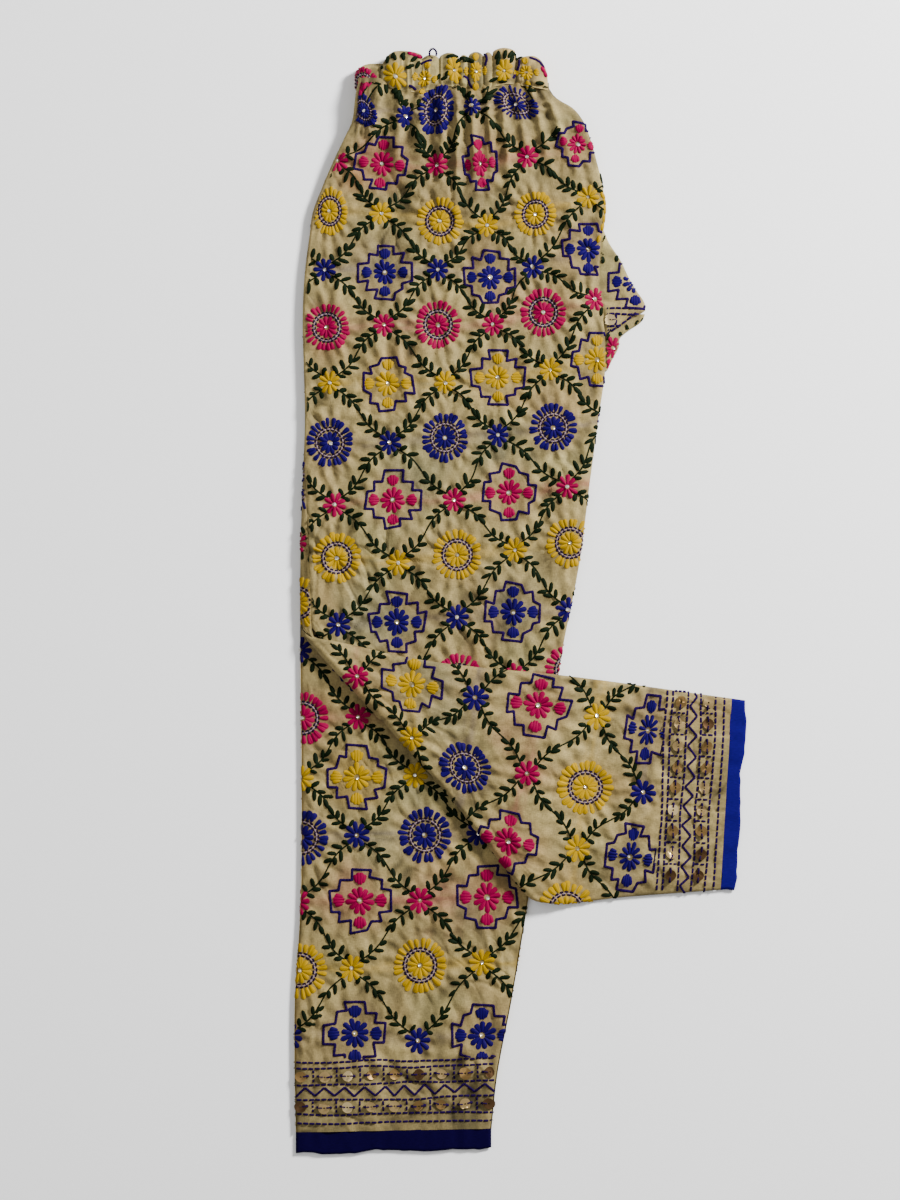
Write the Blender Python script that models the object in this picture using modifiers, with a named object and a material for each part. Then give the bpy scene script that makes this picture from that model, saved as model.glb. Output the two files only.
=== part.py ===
"""Straight-leg trousers with an elastic waist, folded in half along the centre and laid flat.

The left leg lies on the right leg, and its lower part is turned back over a diagonal crease.
The frame is in metres with +Z up. The cloth lies on Z = 0, the waist is towards +Y, and the
turned-back part points to +X. "Below" means the distance down from the top of the waist casing,
and "beyond" means the distance past the crease, both measured on the cloth before it is turned.
"""

from collections import namedtuple

import bmesh
import bpy
import numpy as np

MM = 0.001

# Driving dimensions
WAIST_TOP_Y = 480.4 * MM
CENTRE_SHIFT = 0.3 * MM
CLOTH = 1.4 * MM
LAYER_PITCH = 2.0 * MM
WAIST_PITCH = 4.2 * MM
WAIST_THICK_UNTIL = 150 * MM
SEAM_GAP = 0.3 * MM
CASING_DEPTH = 34 * MM
CREASE_LEFT_BELOW = 502 * MM
CREASE_RIGHT_BELOW = 733 * MM
ROLL_RADIUS = 1.58 * LAYER_PITCH
HAIRPIN_RADIUS = 0.5 * LAYER_PITCH
TUCKED_UNDER = 15 * MM
CREASE_BOW = 6 * MM
CREASE_BOW_REACH = 60 * MM
TURNED_BACK_HEIGHT = 4 * LAYER_PITCH
FALL_START = 2 * MM
FALL_LENGTH = 50 * MM
RIGHT_HEM = (941.3 * MM, 937.9 * MM)
RIGHT_BAND_END = (960.9 * MM, 953.5 * MM)
LEFT_HEM = (887.3 * MM, 901.6 * MM)
LEFT_BAND_END = (901.2 * MM, 912.6 * MM)
BAND_CLOTH = 1.5 * MM

# The outline of the folded trousers, in millimetres: both legs above the crease, the right leg below it
Outline = namedtuple("Outline", "below left right")
STACK = (
    Outline(34, -142, 24),
    Outline(42, -144, 30),
    Outline(50, -145, 43),
    Outline(63, -147, 54),
    Outline(78, -154, 60),
    Outline(99, -164, 66),
    Outline(120, -173, 71),
    Outline(141, -181, 73),
    Outline(162, -184, 70),
    Outline(193, -188, 68),
    Outline(235, -190, 72),
    Outline(277, -189, 73),
    Outline(322, -188, 67),
    Outline(374, -190, 60),
    Outline(444, -192, 51),
    Outline(527, -192, 35),
    Outline(635, -191, 20),
    Outline(746, -192, 5),
    Outline(830, -197, -9),
    Outline(893, -197, -21),
    Outline(940, -196, -26),
)

# The left leg's own edges past the crease, as they were before it was turned back, in millimetres
Edge = namedtuple("Edge", "below x")
LEFT_LEG_OUTSEAM = (Edge(527, -190), Edge(623, -185), Edge(733, -189), Edge(895, -190))
LEFT_LEG_INSEAM = (Edge(635, 21), Edge(740, 9), Edge(757, 8.5), Edge(821, -6), Edge(907, -25))

# Folds that fan down from the gathered waist and the few long ones of the leg, in millimetres
Fold = namedtuple("Fold", "x below end_x end_below width height")
FOLDS = (
    Fold(-122, 30, -136, 112, 9, 2.4),
    Fold(-102, 30, -113, 130, 9, 3.0),
    Fold(-86, 30, -90, 120, 8, 2.6),
    Fold(-68, 30, -72, 150, 7, 3.4),
    Fold(-55, 30, -57, 172, 6, 4.0),
    Fold(-42, 30, -40, 165, 7, 4.0),
    Fold(-30, 30, -25, 130, 6, 3.0),
    Fold(-18, 30, -8, 140, 7, 3.2),
    Fold(-5, 30, 9, 122, 7, 3.0),
    Fold(8, 30, 31, 130, 8, 3.4),
    Fold(19, 32, 53, 122, 8, 2.8),
    Fold(-150, 120, -168, 330, 13, 1.6),
    Fold(-95, 150, -108, 380, 14, 1.2),
    Fold(-30, 150, -42, 360, 13, 1.4),
    Fold(40, 110, 50, 300, 12, 1.8),
    Fold(-130, 330, -140, 500, 15, 1.0),
    Fold(10, 330, -6, 560, 14, 1.2),
)

# Puffs of the gathered casing: its stretch of X and the place of its crown, in millimetres
Puff = namedtuple("Puff", "left right crown height")
PUFFS = (
    Puff(-122, -86, 2.6, 5.6),
    Puff(-86, -71, 6.0, 4.6),
    Puff(-71, -54, 4.3, 5.8),
    Puff(-54, -46, 6.0, 5.0),
    Puff(-46, -33, 3.5, 6.0),
    Puff(-33, -25, 3.8, 5.2),
    Puff(-25, -5, 0.0, 6.2),
    Puff(-5, 23, 7.0, 5.6),
)
PUFF_DIP = 4 * MM
PUFF_VALLEY_HEIGHT = 2.6 * MM
CASING_CORNER = 14 * MM
HIDDEN_CASING_LEFT = -144 * MM
HIDDEN_CASING_RIGHT = 22 * MM
HIDDEN_CASING_TOP = 13 * MM

# The crotch gusset's outer edge, in millimetres
GUSSET_EDGE = (
    Edge(155, 71),
    Edge(167, 76),
    Edge(184, 87),
    Edge(199, 94),
    Edge(209, 100),
    Edge(221, 107.5),
    Edge(227, 108),
    Edge(238, 103),
    Edge(244, 94),
    Edge(251, 86),
    Edge(258, 85),
    Edge(270, 79),
    Edge(282, 73.5),
)
GUSSET_TOP = (161 * MM, 161 * MM)
GUSSET_JOIN = (249 * MM, 227 * MM)
GUSSET_BOTTOM = (279 * MM, 279 * MM)
GUSSET_CLEARANCE = 0.5 * MM

# A cloth wall's rim that turns down over the layers below it, in millimetres from the outline
Rim = namedtuple("Rim", "inset drop")
TURNED_RIM = (Rim(0.75, 2.5), Rim(1.0, 1.1), Rim(2.0, 0.3), Rim(3.8, 0.0))
PLAIN_RIM = (Rim(3.4, 0.0), Rim(4.0, 0.0), Rim(4.8, 0.0), Rim(6.0, 0.0))
OUTSEAM_RIM = (Rim(9.4, 0.0), Rim(10.5, 0.0), Rim(12.0, 0.0), Rim(14.0, 0.0))

# The ring of the hidden layers: insets in millimetres, heights in layer pitches, above and below the crease
Ring = namedtuple("Ring", "side inset pitches leg_inset leg_height")
HIDDEN_RING = (
    Ring("left", 3.0, 0.00, 2.8, 0.0),
    Ring("left", 0.6, 0.40, 2.8, 0.3),
    Ring("left", 0.0, 1.00, 2.8, 0.7),
    Ring("left", 0.7, 1.60, 2.8, 1.1),
    Ring("left", 2.4, 1.85, 3.1, 1.4),
    Ring("left", 0.7, 2.15, 4.0, 1.4),
    Ring("left", 0.0, 2.80, 5.0, 1.4),
    Ring("left", 0.7, 3.40, 6.0, 1.4),
    Ring("left", 3.0, 3.70, 7.0, 1.4),
    Ring("left", 8.8, 3.70, 9.0, 1.4),
    Ring("left", 8.9, 2.82, 11.0, 1.4),
    Ring("right", 5.5, 2.82, 6.0, 1.4),
    Ring("right", 3.4, 2.70, 5.0, 1.4),
    Ring("right", 3.0, 1.90, 4.0, 1.4),
    Ring("right", 0.9, 1.55, 3.1, 1.4),
    Ring("right", 0.0, 1.00, 2.8, 1.0),
    Ring("right", 0.6, 0.40, 2.8, 0.4),
    Ring("right", 3.0, 0.00, 2.8, 0.0),
)
HIDDEN_TOP_COLUMNS = 5
HIDDEN_FLOOR_COLUMNS = 3


def smooth(x):
    """Goes from 0 to 1 with no corner as x does, and stays level outside."""
    x = np.clip(x, 0.0, 1.0)
    return x * x * (3.0 - 2.0 * x)


def through(stations, values, at):
    """A smooth curve through values at stations, level past its ends, for an array of places."""
    stations = np.asarray(stations, float) * MM
    values = np.asarray(values, float) * MM
    slopes = np.gradient(values, stations)
    at = np.clip(at, stations[0], stations[-1])
    i = np.clip(np.searchsorted(stations, at) - 1, 0, len(stations) - 2)
    span = stations[i + 1] - stations[i]
    t = (at - stations[i]) / span
    start = (1 + 2 * t) * (1 - t) ** 2 * values[i] + t * (1 - t) ** 2 * span * slopes[i]
    end = t * t * (3 - 2 * t) * values[i + 1] + t * t * (t - 1) * span * slopes[i + 1]
    return start + end


def stack_left(below):
    return through([row.below for row in STACK], [row.left for row in STACK], below)


def stack_right(below):
    return through([row.below for row in STACK], [row.right for row in STACK], below)


def leg_edge(side, rows):
    """The left leg's edge: the stack's outline down to the first row past the crease, then those rows."""
    above = [(row.below, getattr(row, side)) for row in STACK if row.below < rows[0].below]
    table = above + [(row.below, row.x) for row in rows]
    return lambda below: through([row[0] for row in table], [row[1] for row in table], below)


left_leg_left = leg_edge("left", LEFT_LEG_OUTSEAM)
left_leg_right = leg_edge("right", LEFT_LEG_INSEAM)


def pitch(below):
    """The spacing of the layers: wider where the waist gathers the cloth."""
    reach = (below - CASING_DEPTH) / (WAIST_THICK_UNTIL - CASING_DEPTH)
    return WAIST_PITCH + (LAYER_PITCH - WAIST_PITCH) * smooth(reach)


def crease_frame():
    """The crease's upper end, the direction across it, in X and below, and its length."""
    start = np.array([left_leg_left(CREASE_LEFT_BELOW), CREASE_LEFT_BELOW])
    end = np.array([left_leg_right(CREASE_RIGHT_BELOW), CREASE_RIGHT_BELOW])
    length = np.linalg.norm(end - start)
    along = (end - start) / length
    return start, np.array([-along[1], along[0]]), length


CREASE_POINT, ACROSS_CREASE, CREASE_LENGTH = crease_frame()


def beyond_crease(x, below):
    return (x - CREASE_POINT[0]) * ACROSS_CREASE[0] + (below - CREASE_POINT[1]) * ACROSS_CREASE[1]


def along_crease(x, below):
    """The share of the crease's length, 0 at its upper end and 1 at its lower end."""
    along = (x - CREASE_POINT[0]) * ACROSS_CREASE[1] - (below - CREASE_POINT[1]) * ACROSS_CREASE[0]
    return along / CREASE_LENGTH


def beside_crease(left, right, beyond):
    """The station parallel to the crease at a distance beyond it: its two ends, as below."""
    ends = []
    for edge, start in ((left, CREASE_LEFT_BELOW), (right, CREASE_RIGHT_BELOW)):
        below = start
        for _ in range(6):
            off = beyond - beyond_crease(edge(below), below)
            step = 1 * MM
            rate = beyond_crease(edge(below + step), below + step) - beyond_crease(edge(below), below)
            below = below + off * step / rate
        ends.append(below)
    return tuple(ends)


def stations_between(start, end, count, power=1.0):
    """Stations that swing evenly from one to another, without the last."""
    shares = (np.arange(count) / count) ** power
    return [tuple(np.array(start) + (np.array(end) - np.array(start)) * share) for share in shares]


def stack_stations():
    """The stations that the front panel and the layers under it share, down to just above the crease."""
    top = (CASING_DEPTH + SEAM_GAP,) * 2
    last = beside_crease(left_leg_left, left_leg_right, -24 * MM)
    return stations_between(top, last, 31, 1.15) + [last]


def turned_back_stations():
    """The stations that both layers of the turned-back part share, from the crease to the hem."""
    first = beside_crease(left_leg_left, left_leg_right, np.pi * ROLL_RADIUS)
    hem = tuple(below - SEAM_GAP for below in LEFT_HEM)
    return stations_between(first, hem, 15) + [hem]


STACK_STATIONS = stack_stations()
TURNED_BACK_STATIONS = turned_back_stations()


def fold_relief(x, below):
    """The height that the waist's folds and the long ones add, never below zero."""
    height = np.zeros(np.broadcast(x, below).shape)
    for fold in FOLDS:
        share = (below - fold.below * MM) / ((fold.end_below - fold.below) * MM)
        middle = (fold.x + (fold.end_x - fold.x) * share) * MM
        across = np.exp(-(((x - middle) / (fold.width * MM * 0.55)) ** 2))
        fade = smooth(share * 6.0) * smooth((1.0 - share) * 1.6)
        height = np.maximum(height, fold.height * MM * across * fade)
    return height


def fall(x, below):
    """How far the turned-back part has come down beside the stack."""
    return TURNED_BACK_HEIGHT * smooth((x - stack_right(below) - FALL_START) / FALL_LENGTH)


def turn_back(x, below, radius, drop):
    """Carries points of the unfolded left leg over the crease; returns X, below and height.

    The radius is the layer's distance from the crease's axis, and a drop brings a rim nearer to it.
    """
    beyond = beyond_crease(x, below)
    turn = np.clip(beyond / ROLL_RADIUS, 0.0, np.pi)
    past = np.maximum(beyond - np.pi * ROLL_RADIUS, 0.0)
    reach = np.minimum(beyond, 0.0) + (radius - drop) * np.sin(turn) - past
    bow = CREASE_BOW * np.sin(np.pi * np.clip(along_crease(x, below), 0.0, 1.0))
    reach = reach - bow * smooth(1.0 - np.abs(beyond) / CREASE_BOW_REACH)
    x = x + (reach - beyond) * ACROSS_CREASE[0]
    below = below + (reach - beyond) * ACROSS_CREASE[1]
    axis = 3.5 * LAYER_PITCH + CLOTH / 2
    height = axis - (radius - drop) * np.cos(turn)
    return x, below, height - fall(x, below) * smooth(2.0 * turn / np.pi - 1.0)


def to_frame(x, below, height):
    return np.stack([x + CENTRE_SHIFT, WAIST_TOP_Y - below, height], axis=-1)


def station_points(station, left, right, left_insets, right_insets, columns):
    """Points along one station: the left rim's insets, the cloth between, then the right rim's insets."""
    ends = np.array([[left(station[0]), station[0]], [right(station[1]), station[1]]])
    length = np.linalg.norm(ends[1] - ends[0])
    slant = (ends[1, 0] - ends[0, 0]) / length
    left_shares = np.array(left_insets) * MM / slant / length
    right_shares = 1.0 - np.array(right_insets[::-1]) * MM / slant / length
    middle = np.linspace(left_shares[-1], right_shares[0], columns + 2)[1:-1]
    shares = np.concatenate([left_shares, middle, right_shares])
    points = ends[0] + (ends[1] - ends[0]) * shares[:, None]
    return points[:, 0], points[:, 1]


def mix(first, second, share):
    """A rim between two others."""
    return [Rim(*(np.array(a) + (np.array(b) - np.array(a)) * share)) for a, b in zip(first, second)]


def rim_drops(left_rim, right_rim, columns):
    left = [row.drop for row in left_rim]
    right = [row.drop for row in right_rim[::-1]]
    return np.array(left + [0.0] * columns + right) * MM


def make_material(name, colour, roughness):
    material = bpy.data.materials.new(name)
    material.use_nodes = True
    shader = material.node_tree.nodes["Principled BSDF"]
    shader.inputs["Base Color"].default_value = (*colour, 1.0)
    shader.inputs["Roughness"].default_value = roughness
    shader.inputs["Metallic"].default_value = 0.0
    material.diffuse_color = (*colour, 1.0)
    return material


def add_object(name, mesh, colour, roughness=0.8):
    mesh.shade_smooth()
    piece = bpy.data.objects.new(name, mesh)
    collection.objects.link(piece)
    mesh.materials.append(make_material(name + "_cloth", colour, roughness))
    return piece


def grid_faces(rows, columns, closed=False):
    """Quads of a grid of points whose front looks up when rows run down and columns run to the right."""
    faces = []
    for i in range(rows - 1):
        for j in range(columns if closed else columns - 1):
            k = (j + 1) % columns
            faces.append((i * columns + j, (i + 1) * columns + j, (i + 1) * columns + k, i * columns + k))
    return faces


def add_wall(name, rows, colour, thickness=CLOTH, closed=False):
    """A cloth wall: a surface through rows of points, given its thickness."""
    points = np.array(rows)
    mesh = bpy.data.meshes.new(name)
    faces = grid_faces(points.shape[0], points.shape[1], closed)
    mesh.from_pydata(points.reshape(-1, 3).tolist(), [], faces)
    piece = add_object(name, mesh, colour)
    solidify = piece.modifiers.new("cloth thickness", "SOLIDIFY")
    solidify.thickness = thickness
    solidify.offset = 0.0
    solidify.use_rim = True
    return piece


def add_loft(name, rings, colour):
    """A closed solid through rings of equal count, with a flat face at each end."""
    points = np.array(rings)
    count, around = points.shape[:2]
    mesh = bpy.data.meshes.new(name)
    faces = grid_faces(count, around, closed=True)
    faces.append(tuple(range(around)))
    faces.append(tuple((count - 1) * around + j for j in reversed(range(around))))
    mesh.from_pydata(points.reshape(-1, 3).tolist(), [], faces)
    shell = bmesh.new()
    shell.from_mesh(mesh)
    bmesh.ops.recalc_face_normals(shell, faces=shell.faces)
    shell.to_mesh(mesh)
    shell.free()
    return add_object(name, mesh, colour)


TAN = (0.50, 0.40, 0.22)
BLUE = (0.01, 0.015, 0.36)
PANEL_COLUMNS = 19
LEG_COLUMNS = 13

# Where the front panel's rims give way to the back panel's, as distances beyond the crease
RIM_CHANGE = (-17 * MM, -15.5 * MM, -14 * MM)


def make_left_front():
    """The front panel: level down to the crease, a hairpin in it, then the turned-back under layer."""
    stations = list(STACK_STATIONS)
    for beyond in (*RIM_CHANGE, -9 * MM):
        stations.append(beside_crease(left_leg_left, left_leg_right, beyond))
    for turn in np.linspace(0.0, np.pi, 7)[:-1]:
        stations.append(beside_crease(left_leg_left, left_leg_right, turn * ROLL_RADIUS))
    stations += TURNED_BACK_STATIONS
    rows = []
    for station in stations:
        middle = sum(station) / 2
        edge_x = left_leg_left(station[0])
        since_change = beyond_crease(edge_x, station[0]) - RIM_CHANGE[0]
        near = smooth(since_change / (RIM_CHANGE[-1] - RIM_CHANGE[0]))
        left_rim = mix(OUTSEAM_RIM, PLAIN_RIM, near)
        right_rim = mix(TURNED_RIM, PLAIN_RIM, near)
        insets = [[row.inset for row in rim] for rim in (left_rim, right_rim)]
        x, below = station_points(station, left_leg_left, left_leg_right, *insets, PANEL_COLUMNS)
        drop = -rim_drops(left_rim, right_rim, PANEL_COLUMNS) * pitch(middle) / LAYER_PITCH
        in_stack = beyond_crease(x, below) < 0.0
        lift = np.where(in_stack, 3 * (pitch(below) - LAYER_PITCH) + fold_relief(x, below), 0.0)
        x, below, height = turn_back(x, below, HAIRPIN_RADIUS, np.where(in_stack, drop, 0.0))
        rows.append(to_frame(x, below, height + lift))
    return add_wall("left_front", rows, TAN)


def make_left_back():
    """The back panel where it shows: out of the stack, round the crease and back to the hem."""
    insets = [row.inset for row in TURNED_RIM]
    stations = []
    for beyond in (CREASE_BOW - TUCKED_UNDER, -4 * MM, 0.0):
        stations.append(beside_crease(left_leg_left, left_leg_right, beyond))
    for turn in np.linspace(0.0, np.pi, 7)[1:-1]:
        stations.append(beside_crease(left_leg_left, left_leg_right, turn * ROLL_RADIUS))
    stations += TURNED_BACK_STATIONS
    rows = []
    for station in stations:
        x, below = station_points(station, left_leg_left, left_leg_right, insets, insets, PANEL_COLUMNS)
        drop = rim_drops(TURNED_RIM, TURNED_RIM, PANEL_COLUMNS)
        rows.append(to_frame(*turn_back(x, below, ROLL_RADIUS, drop)))
    return add_wall("left_back", rows, TAN)


def make_right_back():
    """The back panel of the lower leg, from under the crease to the hem, turned down at both edges."""
    insets = [row.inset for row in TURNED_RIM]
    start = beside_crease(stack_left, stack_right, -TUCKED_UNDER)
    hem = tuple(below - SEAM_GAP for below in RIGHT_HEM)
    rows = []
    for station in stations_between(start, hem, 18) + [hem]:
        x, below = station_points(station, stack_left, stack_right, insets, insets, LEG_COLUMNS)
        height = LAYER_PITCH + CLOTH / 2 - rim_drops(TURNED_RIM, TURNED_RIM, LEG_COLUMNS)
        rows.append(to_frame(x, below, height))
    return add_wall("right_back", rows, TAN)


def hidden_ring(station, share_of_leg):
    """One ring of the hidden layers; the share goes from the whole stack to the right front alone."""
    insets = {"left": [], "right": []}
    for row in HIDDEN_RING:
        insets[row.side].append(row.inset + (row.leg_inset - row.inset) * share_of_leg)
    rims = (insets["left"], insets["right"][::-1])
    x, below = station_points(station, stack_left, stack_right, *rims, HIDDEN_TOP_COLUMNS)
    first_right = len(insets["left"])
    across_top = [HIDDEN_RING[first_right]] * HIDDEN_TOP_COLUMNS
    rows = [*HIDDEN_RING[:first_right], *across_top, *HIDDEN_RING[first_right:]]
    pitches = np.array([row.pitches for row in rows])
    leg_height = np.array([row.leg_height for row in rows]) * MM
    height = pitches * pitch(below) * (1 - share_of_leg) + leg_height * share_of_leg
    over = to_frame(x, below, height)
    shares = np.linspace(1.0, 0.0, HIDDEN_FLOOR_COLUMNS + 2)[1:-1, None]
    floor = over[0] + (over[-1] - over[0]) * shares
    return np.concatenate([over, floor])


def make_hidden_layers():
    """The layers that never show: three above the crease, and the right front alone below it."""
    before = beside_crease(stack_left, stack_right, -TUCKED_UNDER - 3.5 * MM)
    after = beside_crease(stack_left, stack_right, -TUCKED_UNDER - 2.2 * MM)
    rings = [hidden_ring(station, 0.0) for station in STACK_STATIONS]
    rings.append(hidden_ring(before, 0.0))
    hem = tuple(below - SEAM_GAP for below in RIGHT_HEM)
    rings += [hidden_ring(station, 1.0) for station in stations_between(after, hem, 16) + [hem]]
    return add_loft("hidden_layers", rings, TAN)


def band_ring(station, left, right, columns=7):
    """A flattened ring of two layers, as X, below and side: 1 on top, -1 beneath, 0 at the edges."""
    half_wall = BAND_CLOTH / 2 / MM
    edge = half_wall + 0.9
    x, below = station_points(station, left, right, (half_wall, edge), (half_wall, edge), columns)
    order = list(range(len(x))) + list(range(len(x) - 2, 0, -1))
    side = np.array([0.0] + [1.0] * (len(x) - 2) + [0.0] + [-1.0] * (len(x) - 2))
    return x[order], below[order], side


def make_right_hem_band():
    """The band round the right hem: a flattened tube, open as a slit at both ends."""
    rows = []
    for station in stations_between(RIGHT_HEM, RIGHT_BAND_END, 3) + [RIGHT_BAND_END]:
        x, below, side = band_ring(station, stack_left, stack_right)
        rows.append(to_frame(x, below, 1.85 * MM + 1.1 * MM * side))
    return add_wall("right_hem_band", rows, BLUE, BAND_CLOTH, closed=True)


def make_left_hem_band():
    """The band round the left hem, carried over the crease with the leg and lying on the floor."""
    rows = []
    for station in stations_between(LEFT_HEM, LEFT_BAND_END, 3) + [LEFT_BAND_END]:
        x, below, side = band_ring(station, left_leg_left, left_leg_right)
        x, below, _ = turn_back(x, below, ROLL_RADIUS, np.zeros(len(x)))
        rows.append(to_frame(x, below, 1.85 * MM + 1.1 * MM * side))
    return add_wall("left_hem_band", rows, BLUE, BAND_CLOTH, closed=True)


def puff_arch(x):
    """The casing's top edge, as below, and its height above the layers under it, at an array of X."""
    below = np.zeros(len(x))
    height = np.zeros(len(x))
    for puff in PUFFS:
        share = (x - puff.left * MM) / ((puff.right - puff.left) * MM)
        inside = (share >= 0.0) & (share <= 1.0)
        arch = np.sin(np.pi * np.clip(share, 0.0, 1.0)) ** 0.6
        below = np.where(inside, puff.crown * MM + PUFF_DIP * (1 - arch), below)
        rise = PUFF_VALLEY_HEIGHT + (puff.height * MM - PUFF_VALLEY_HEIGHT) * arch
        height = np.where(inside, rise, height)
    return below, height


CASING_RING = (
    (0.00, 0.45),
    (0.03, 0.80),
    (0.12, 0.96),
    (0.32, 1.00),
    (0.56, 0.92),
    (0.78, 0.98),
    (0.94, 0.86),
    (1.00, 0.55),
    (1.00, 0.10),
    (0.94, 0.00),
    (0.50, 0.00),
    (0.06, 0.00),
)


def casing_rings(x, top, bottom, floor, height):
    """Upright rings along X: the shares run from the top edge to the seam, and from the under side up."""
    rings = []
    for place, start, end, low, high in zip(x, top, bottom, floor, height):
        shares = np.array(CASING_RING)
        below = start + (end - start) * shares[:, 0]
        rings.append(to_frame(np.full(len(below), place), below, low + high * shares[:, 1]))
    return rings


def corner_dip(x, left, right, depth):
    """Rounds the two upper corners of a casing."""
    near = np.minimum(x - left, right - x) / CASING_CORNER
    return depth * (1.0 - np.sqrt(np.clip(1.0 - (1.0 - np.clip(near, 0.0, 1.0)) ** 2, 0.0, 1.0)))


def make_waistband_front():
    """The casing that shows, gathered into puffs by its elastic."""
    left = PUFFS[0].left * MM
    right = PUFFS[-1].right * MM
    x = np.linspace(left, right, 42)
    top, height = puff_arch(x)
    top = top + corner_dip(x, left, right, 17 * MM)
    bottom = np.full(len(x), CASING_DEPTH)
    thin = 1.0 - 0.55 * corner_dip(x, left, right, 1.0)
    floor = np.full(len(x), 3 * WAIST_PITCH - SEAM_GAP)
    return add_loft("waistband_front", casing_rings(x, top, bottom, floor, height * thin), TAN)


def make_waistband_layers():
    """The casing's three hidden quarters under it, which peek out at the left."""
    left = HIDDEN_CASING_LEFT
    right = HIDDEN_CASING_RIGHT
    x = np.linspace(left, right, 26)
    top = HIDDEN_CASING_TOP + corner_dip(x, left, right, 11 * MM)
    bottom = np.full(len(x), CASING_DEPTH)
    thin = 1.0 - 0.5 * corner_dip(x, left, right, 1.0)
    height = (3 * WAIST_PITCH - 2 * SEAM_GAP) * thin
    floor = np.zeros(len(x))
    return add_loft("waistband_layers", casing_rings(x, top, bottom, floor, height), TAN)


GUSSET_RING = (
    (0.00, 1.0),
    (0.00, 4.6),
    (0.30, 4.3),
    (0.62, 3.9),
    (0.88, 3.4),
    (1.00, 2.5),
    (0.97, 1.9),
    (1.00, 1.3),
    (0.88, 0.0),
    (0.50, 0.0),
    (0.14, 0.0),
)


def make_gusset(name, start, end, count):
    """One folded piece of the gusset, lying beside the seat seam."""
    rings = []
    edge = [row.below for row in GUSSET_EDGE], [row.x for row in GUSSET_EDGE]
    for station in stations_between(start, end, count) + [end]:
        inner = np.array([stack_right(station[0]) + GUSSET_CLEARANCE, station[0]])
        outer = np.array([through(*edge, station[1]), station[1]])
        shares = np.array(GUSSET_RING)
        points = inner + (outer - inner) * shares[:, :1]
        rings.append(to_frame(points[:, 0], points[:, 1], shares[:, 1] * MM))
    return add_loft(name, rings, TAN)


for old in list(bpy.data.objects):
    bpy.data.objects.remove(old)
collection = bpy.data.collections.new("folded_trousers")
bpy.context.scene.collection.children.link(collection)

make_left_front()
make_left_back()
make_right_back()
make_hidden_layers()
make_waistband_front()
make_waistband_layers()
make_left_hem_band()
make_right_hem_band()
make_gusset("crotch_gusset_upper", GUSSET_TOP, tuple(below - SEAM_GAP for below in GUSSET_JOIN), 9)
make_gusset("crotch_gusset_lower", tuple(below + SEAM_GAP for below in GUSSET_JOIN), GUSSET_BOTTOM, 5)
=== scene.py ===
"""Embroidered straight-leg trousers, folded in half and laid flat: every visible surface.

The cloth is a set of thin shells, each a function of the place on the cloth before it is folded:
X in the frame, and "below", the distance down from the top of the waist casing. Stitches are drawn
in the same cloth coordinates and laid on the shells, so they follow each fold and crinkle.
"""

from collections import namedtuple

import bpy
import numpy as np
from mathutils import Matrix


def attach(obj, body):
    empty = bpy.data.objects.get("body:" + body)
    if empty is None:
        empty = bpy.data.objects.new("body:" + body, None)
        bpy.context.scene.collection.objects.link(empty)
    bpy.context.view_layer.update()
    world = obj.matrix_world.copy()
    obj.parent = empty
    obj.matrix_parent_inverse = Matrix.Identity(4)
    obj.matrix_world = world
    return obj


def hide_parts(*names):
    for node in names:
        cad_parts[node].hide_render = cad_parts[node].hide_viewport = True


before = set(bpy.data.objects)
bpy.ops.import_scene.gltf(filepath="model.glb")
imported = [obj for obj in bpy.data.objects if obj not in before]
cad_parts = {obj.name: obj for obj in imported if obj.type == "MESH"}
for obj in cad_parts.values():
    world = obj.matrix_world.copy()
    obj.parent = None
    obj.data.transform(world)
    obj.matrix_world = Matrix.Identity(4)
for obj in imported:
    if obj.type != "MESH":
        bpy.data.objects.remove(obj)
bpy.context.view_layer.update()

MM = 0.001

# The photograph's size and scale: one pixel of cloth, and the pixel that lies on X = 0 and on the waist's top
PHOTO_WIDTH = 900
PHOTO_HEIGHT = 1200
PIXEL = 0.87 * MM
ZERO_X_PIXEL = 521.15
TOP_Y_PIXEL = 50.0
WAIST_TOP_Y = 480.4 * MM
CENTRE_SHIFT = 0.3 * MM

# The part's own dimensions
CLOTH = 1.4 * MM
SKIN = 0.45 * MM
LAYER_PITCH = 2.0 * MM
WAIST_PITCH = 4.2 * MM
WAIST_THICK_UNTIL = 150 * MM
CASING_DEPTH = 34 * MM
CREASE_LEFT_BELOW = 502 * MM
CREASE_RIGHT_BELOW = 733 * MM
ROLL_RADIUS = 1.58 * LAYER_PITCH
HAIRPIN_RADIUS = 0.5 * LAYER_PITCH
CREASE_BOW = 6 * MM
CREASE_BOW_REACH = 60 * MM
TURNED_BACK_HEIGHT = 4 * LAYER_PITCH
FALL_START = 2 * MM
FALL_LENGTH = 50 * MM
RIGHT_HEM = (941.3 * MM, 937.9 * MM)
RIGHT_BAND_END = (960.9 * MM, 953.5 * MM)
LEFT_HEM = (887.3 * MM, 901.6 * MM)
LEFT_BAND_END = (901.2 * MM, 912.6 * MM)
RIM_RADIUS = 2.6 * MM
RIM_SPARE = 0.72 * RIM_RADIUS
CASING_CORNER = 14 * MM
HIDDEN_CASING_LEFT = -144 * MM
HIDDEN_CASING_RIGHT = 22 * MM
HIDDEN_CASING_TOP = 13 * MM


def rows_of(kind, *rows):
    """A table whose rows all carry the same names."""
    return [kind(*row) for row in rows]


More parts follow.
